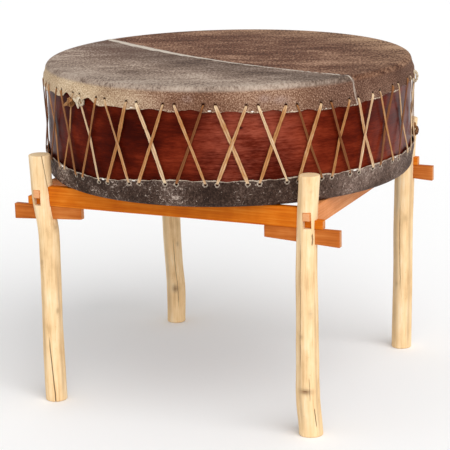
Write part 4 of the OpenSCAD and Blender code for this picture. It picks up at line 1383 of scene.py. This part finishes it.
low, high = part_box("tie_loop")
where = math.atan2(low.y + high.y, low.x + high.x)
middle_z = (low.z + high.z) / 2
tie = ring_loop(
    "tie", where - 3 * DEG, middle_z - 5 * MM, SHELL_R + 8.5 * MM, 5.0 * MM, 8.5 * MM, 10 * DEG,
    brown, 2.4 * MM, 1.4 * MM, twist=3, tone=0.30,
)
tie += ring_loop(
    "tie_turn", where - 3.4 * DEG, middle_z - 2 * MM, SHELL_R + 8 * MM, 4.2 * MM, 6.5 * MM, -30 * DEG,
    brown, 2.0 * MM, 1.3 * MM, twist=2, tone=0.50,
)
tie.append(wrap(
    "tie_wrap", where - 3 * DEG, middle_z + 6 * MM, SHELL_R + 7 * MM, 2.8 * MM, 8 * MM,
    brown, 1.8 * MM, tone=0.75, ends=((-3, -6, 3), (4, 9, 1)),
))
settle(merged("leather_tie_loop", tie), "drum", "tie_loop")

hoop = plain_wood_finish("bare_hoop_wood", (0.26, 0.15, 0.07), (0.50, 0.33, 0.17))
peg = plain_wood_finish("dark_peg_wood", (0.07, 0.018, 0.010), (0.16, 0.05, 0.025))
for node, finish in (("upper_inner_hoop", hoop), ("lower_inner_hoop", hoop), ("scarf_pegs", peg)):
    thing = frame["nodes"][node]
    thing.data.materials.clear()
    thing.data.materials.append(finish)


# ---------------------------------------------------------------- floor, light and camera

SKY = 0.63
# Name, strength, spread, and the bearing and height the light comes from, in degrees.
LAMPS = [("broad_key", 1.7, 55, -32, 45), ("low_front", 0.8, 45, -70, 13)]


def studio():
    """Pale plain floor, an even bright sky, and two broad soft lights from the front right."""
    bpy.ops.mesh.primitive_plane_add(size=60, location=(0, 0, -0.0005))
    floor = bpy.context.object
    floor.name = "floor"
    f = Finish("pale_floor", Roughness=0.9, Specular_IOR_Level=0.1)
    floor.data.materials.append(f.show((0.95, 0.95, 0.95, 1)))
    world = bpy.data.worlds.new("bright_room")
    bpy.context.scene.world = world
    world.use_nodes = True
    sky = world.node_tree.nodes["Background"]
    sky.inputs["Color"].default_value = (1, 1, 1, 1)
    sky.inputs["Strength"].default_value = SKY
    for name, strength, spread, azimuth, elevation in LAMPS:
        lamp = bpy.data.lights.new(name, "SUN")
        lamp.energy = strength
        lamp.angle = spread * DEG
        thing = bpy.data.objects.new(name, lamp)
        thing.rotation_euler = (0, (90 - elevation) * DEG, azimuth * DEG)
        bpy.context.scene.collection.objects.link(thing)


def camera():
    """Camera at chest height, in front of the drum and to its right, looking slightly down."""
    place = (1.4309, -3.2157, 1.2472)
    forward = np.array([-0.3971, 0.8822, -0.2532])
    roll = -0.0240
    level = np.array([0.9119, 0.4105, 0.0])
    forward /= np.linalg.norm(forward)
    up = np.cross(level, forward)
    right = math.cos(roll) * level + math.sin(roll) * up
    up = np.cross(right, forward)
    data = bpy.data.cameras.new("camera")
    data.lens = 137.98
    data.sensor_width = 36.0
    data.clip_end = 100
    thing = bpy.data.objects.new("camera", data)
    thing.matrix_world = Matrix([
        (right[0], up[0], -forward[0], place[0]), (right[1], up[1], -forward[1], place[1]),
        (right[2], up[2], -forward[2], place[2]), (0, 0, 0, 1),
    ])
    bpy.context.scene.collection.objects.link(thing)
    bpy.context.scene.camera = thing


studio()
camera()
bpy.context.scene.view_settings.view_transform = "Standard"
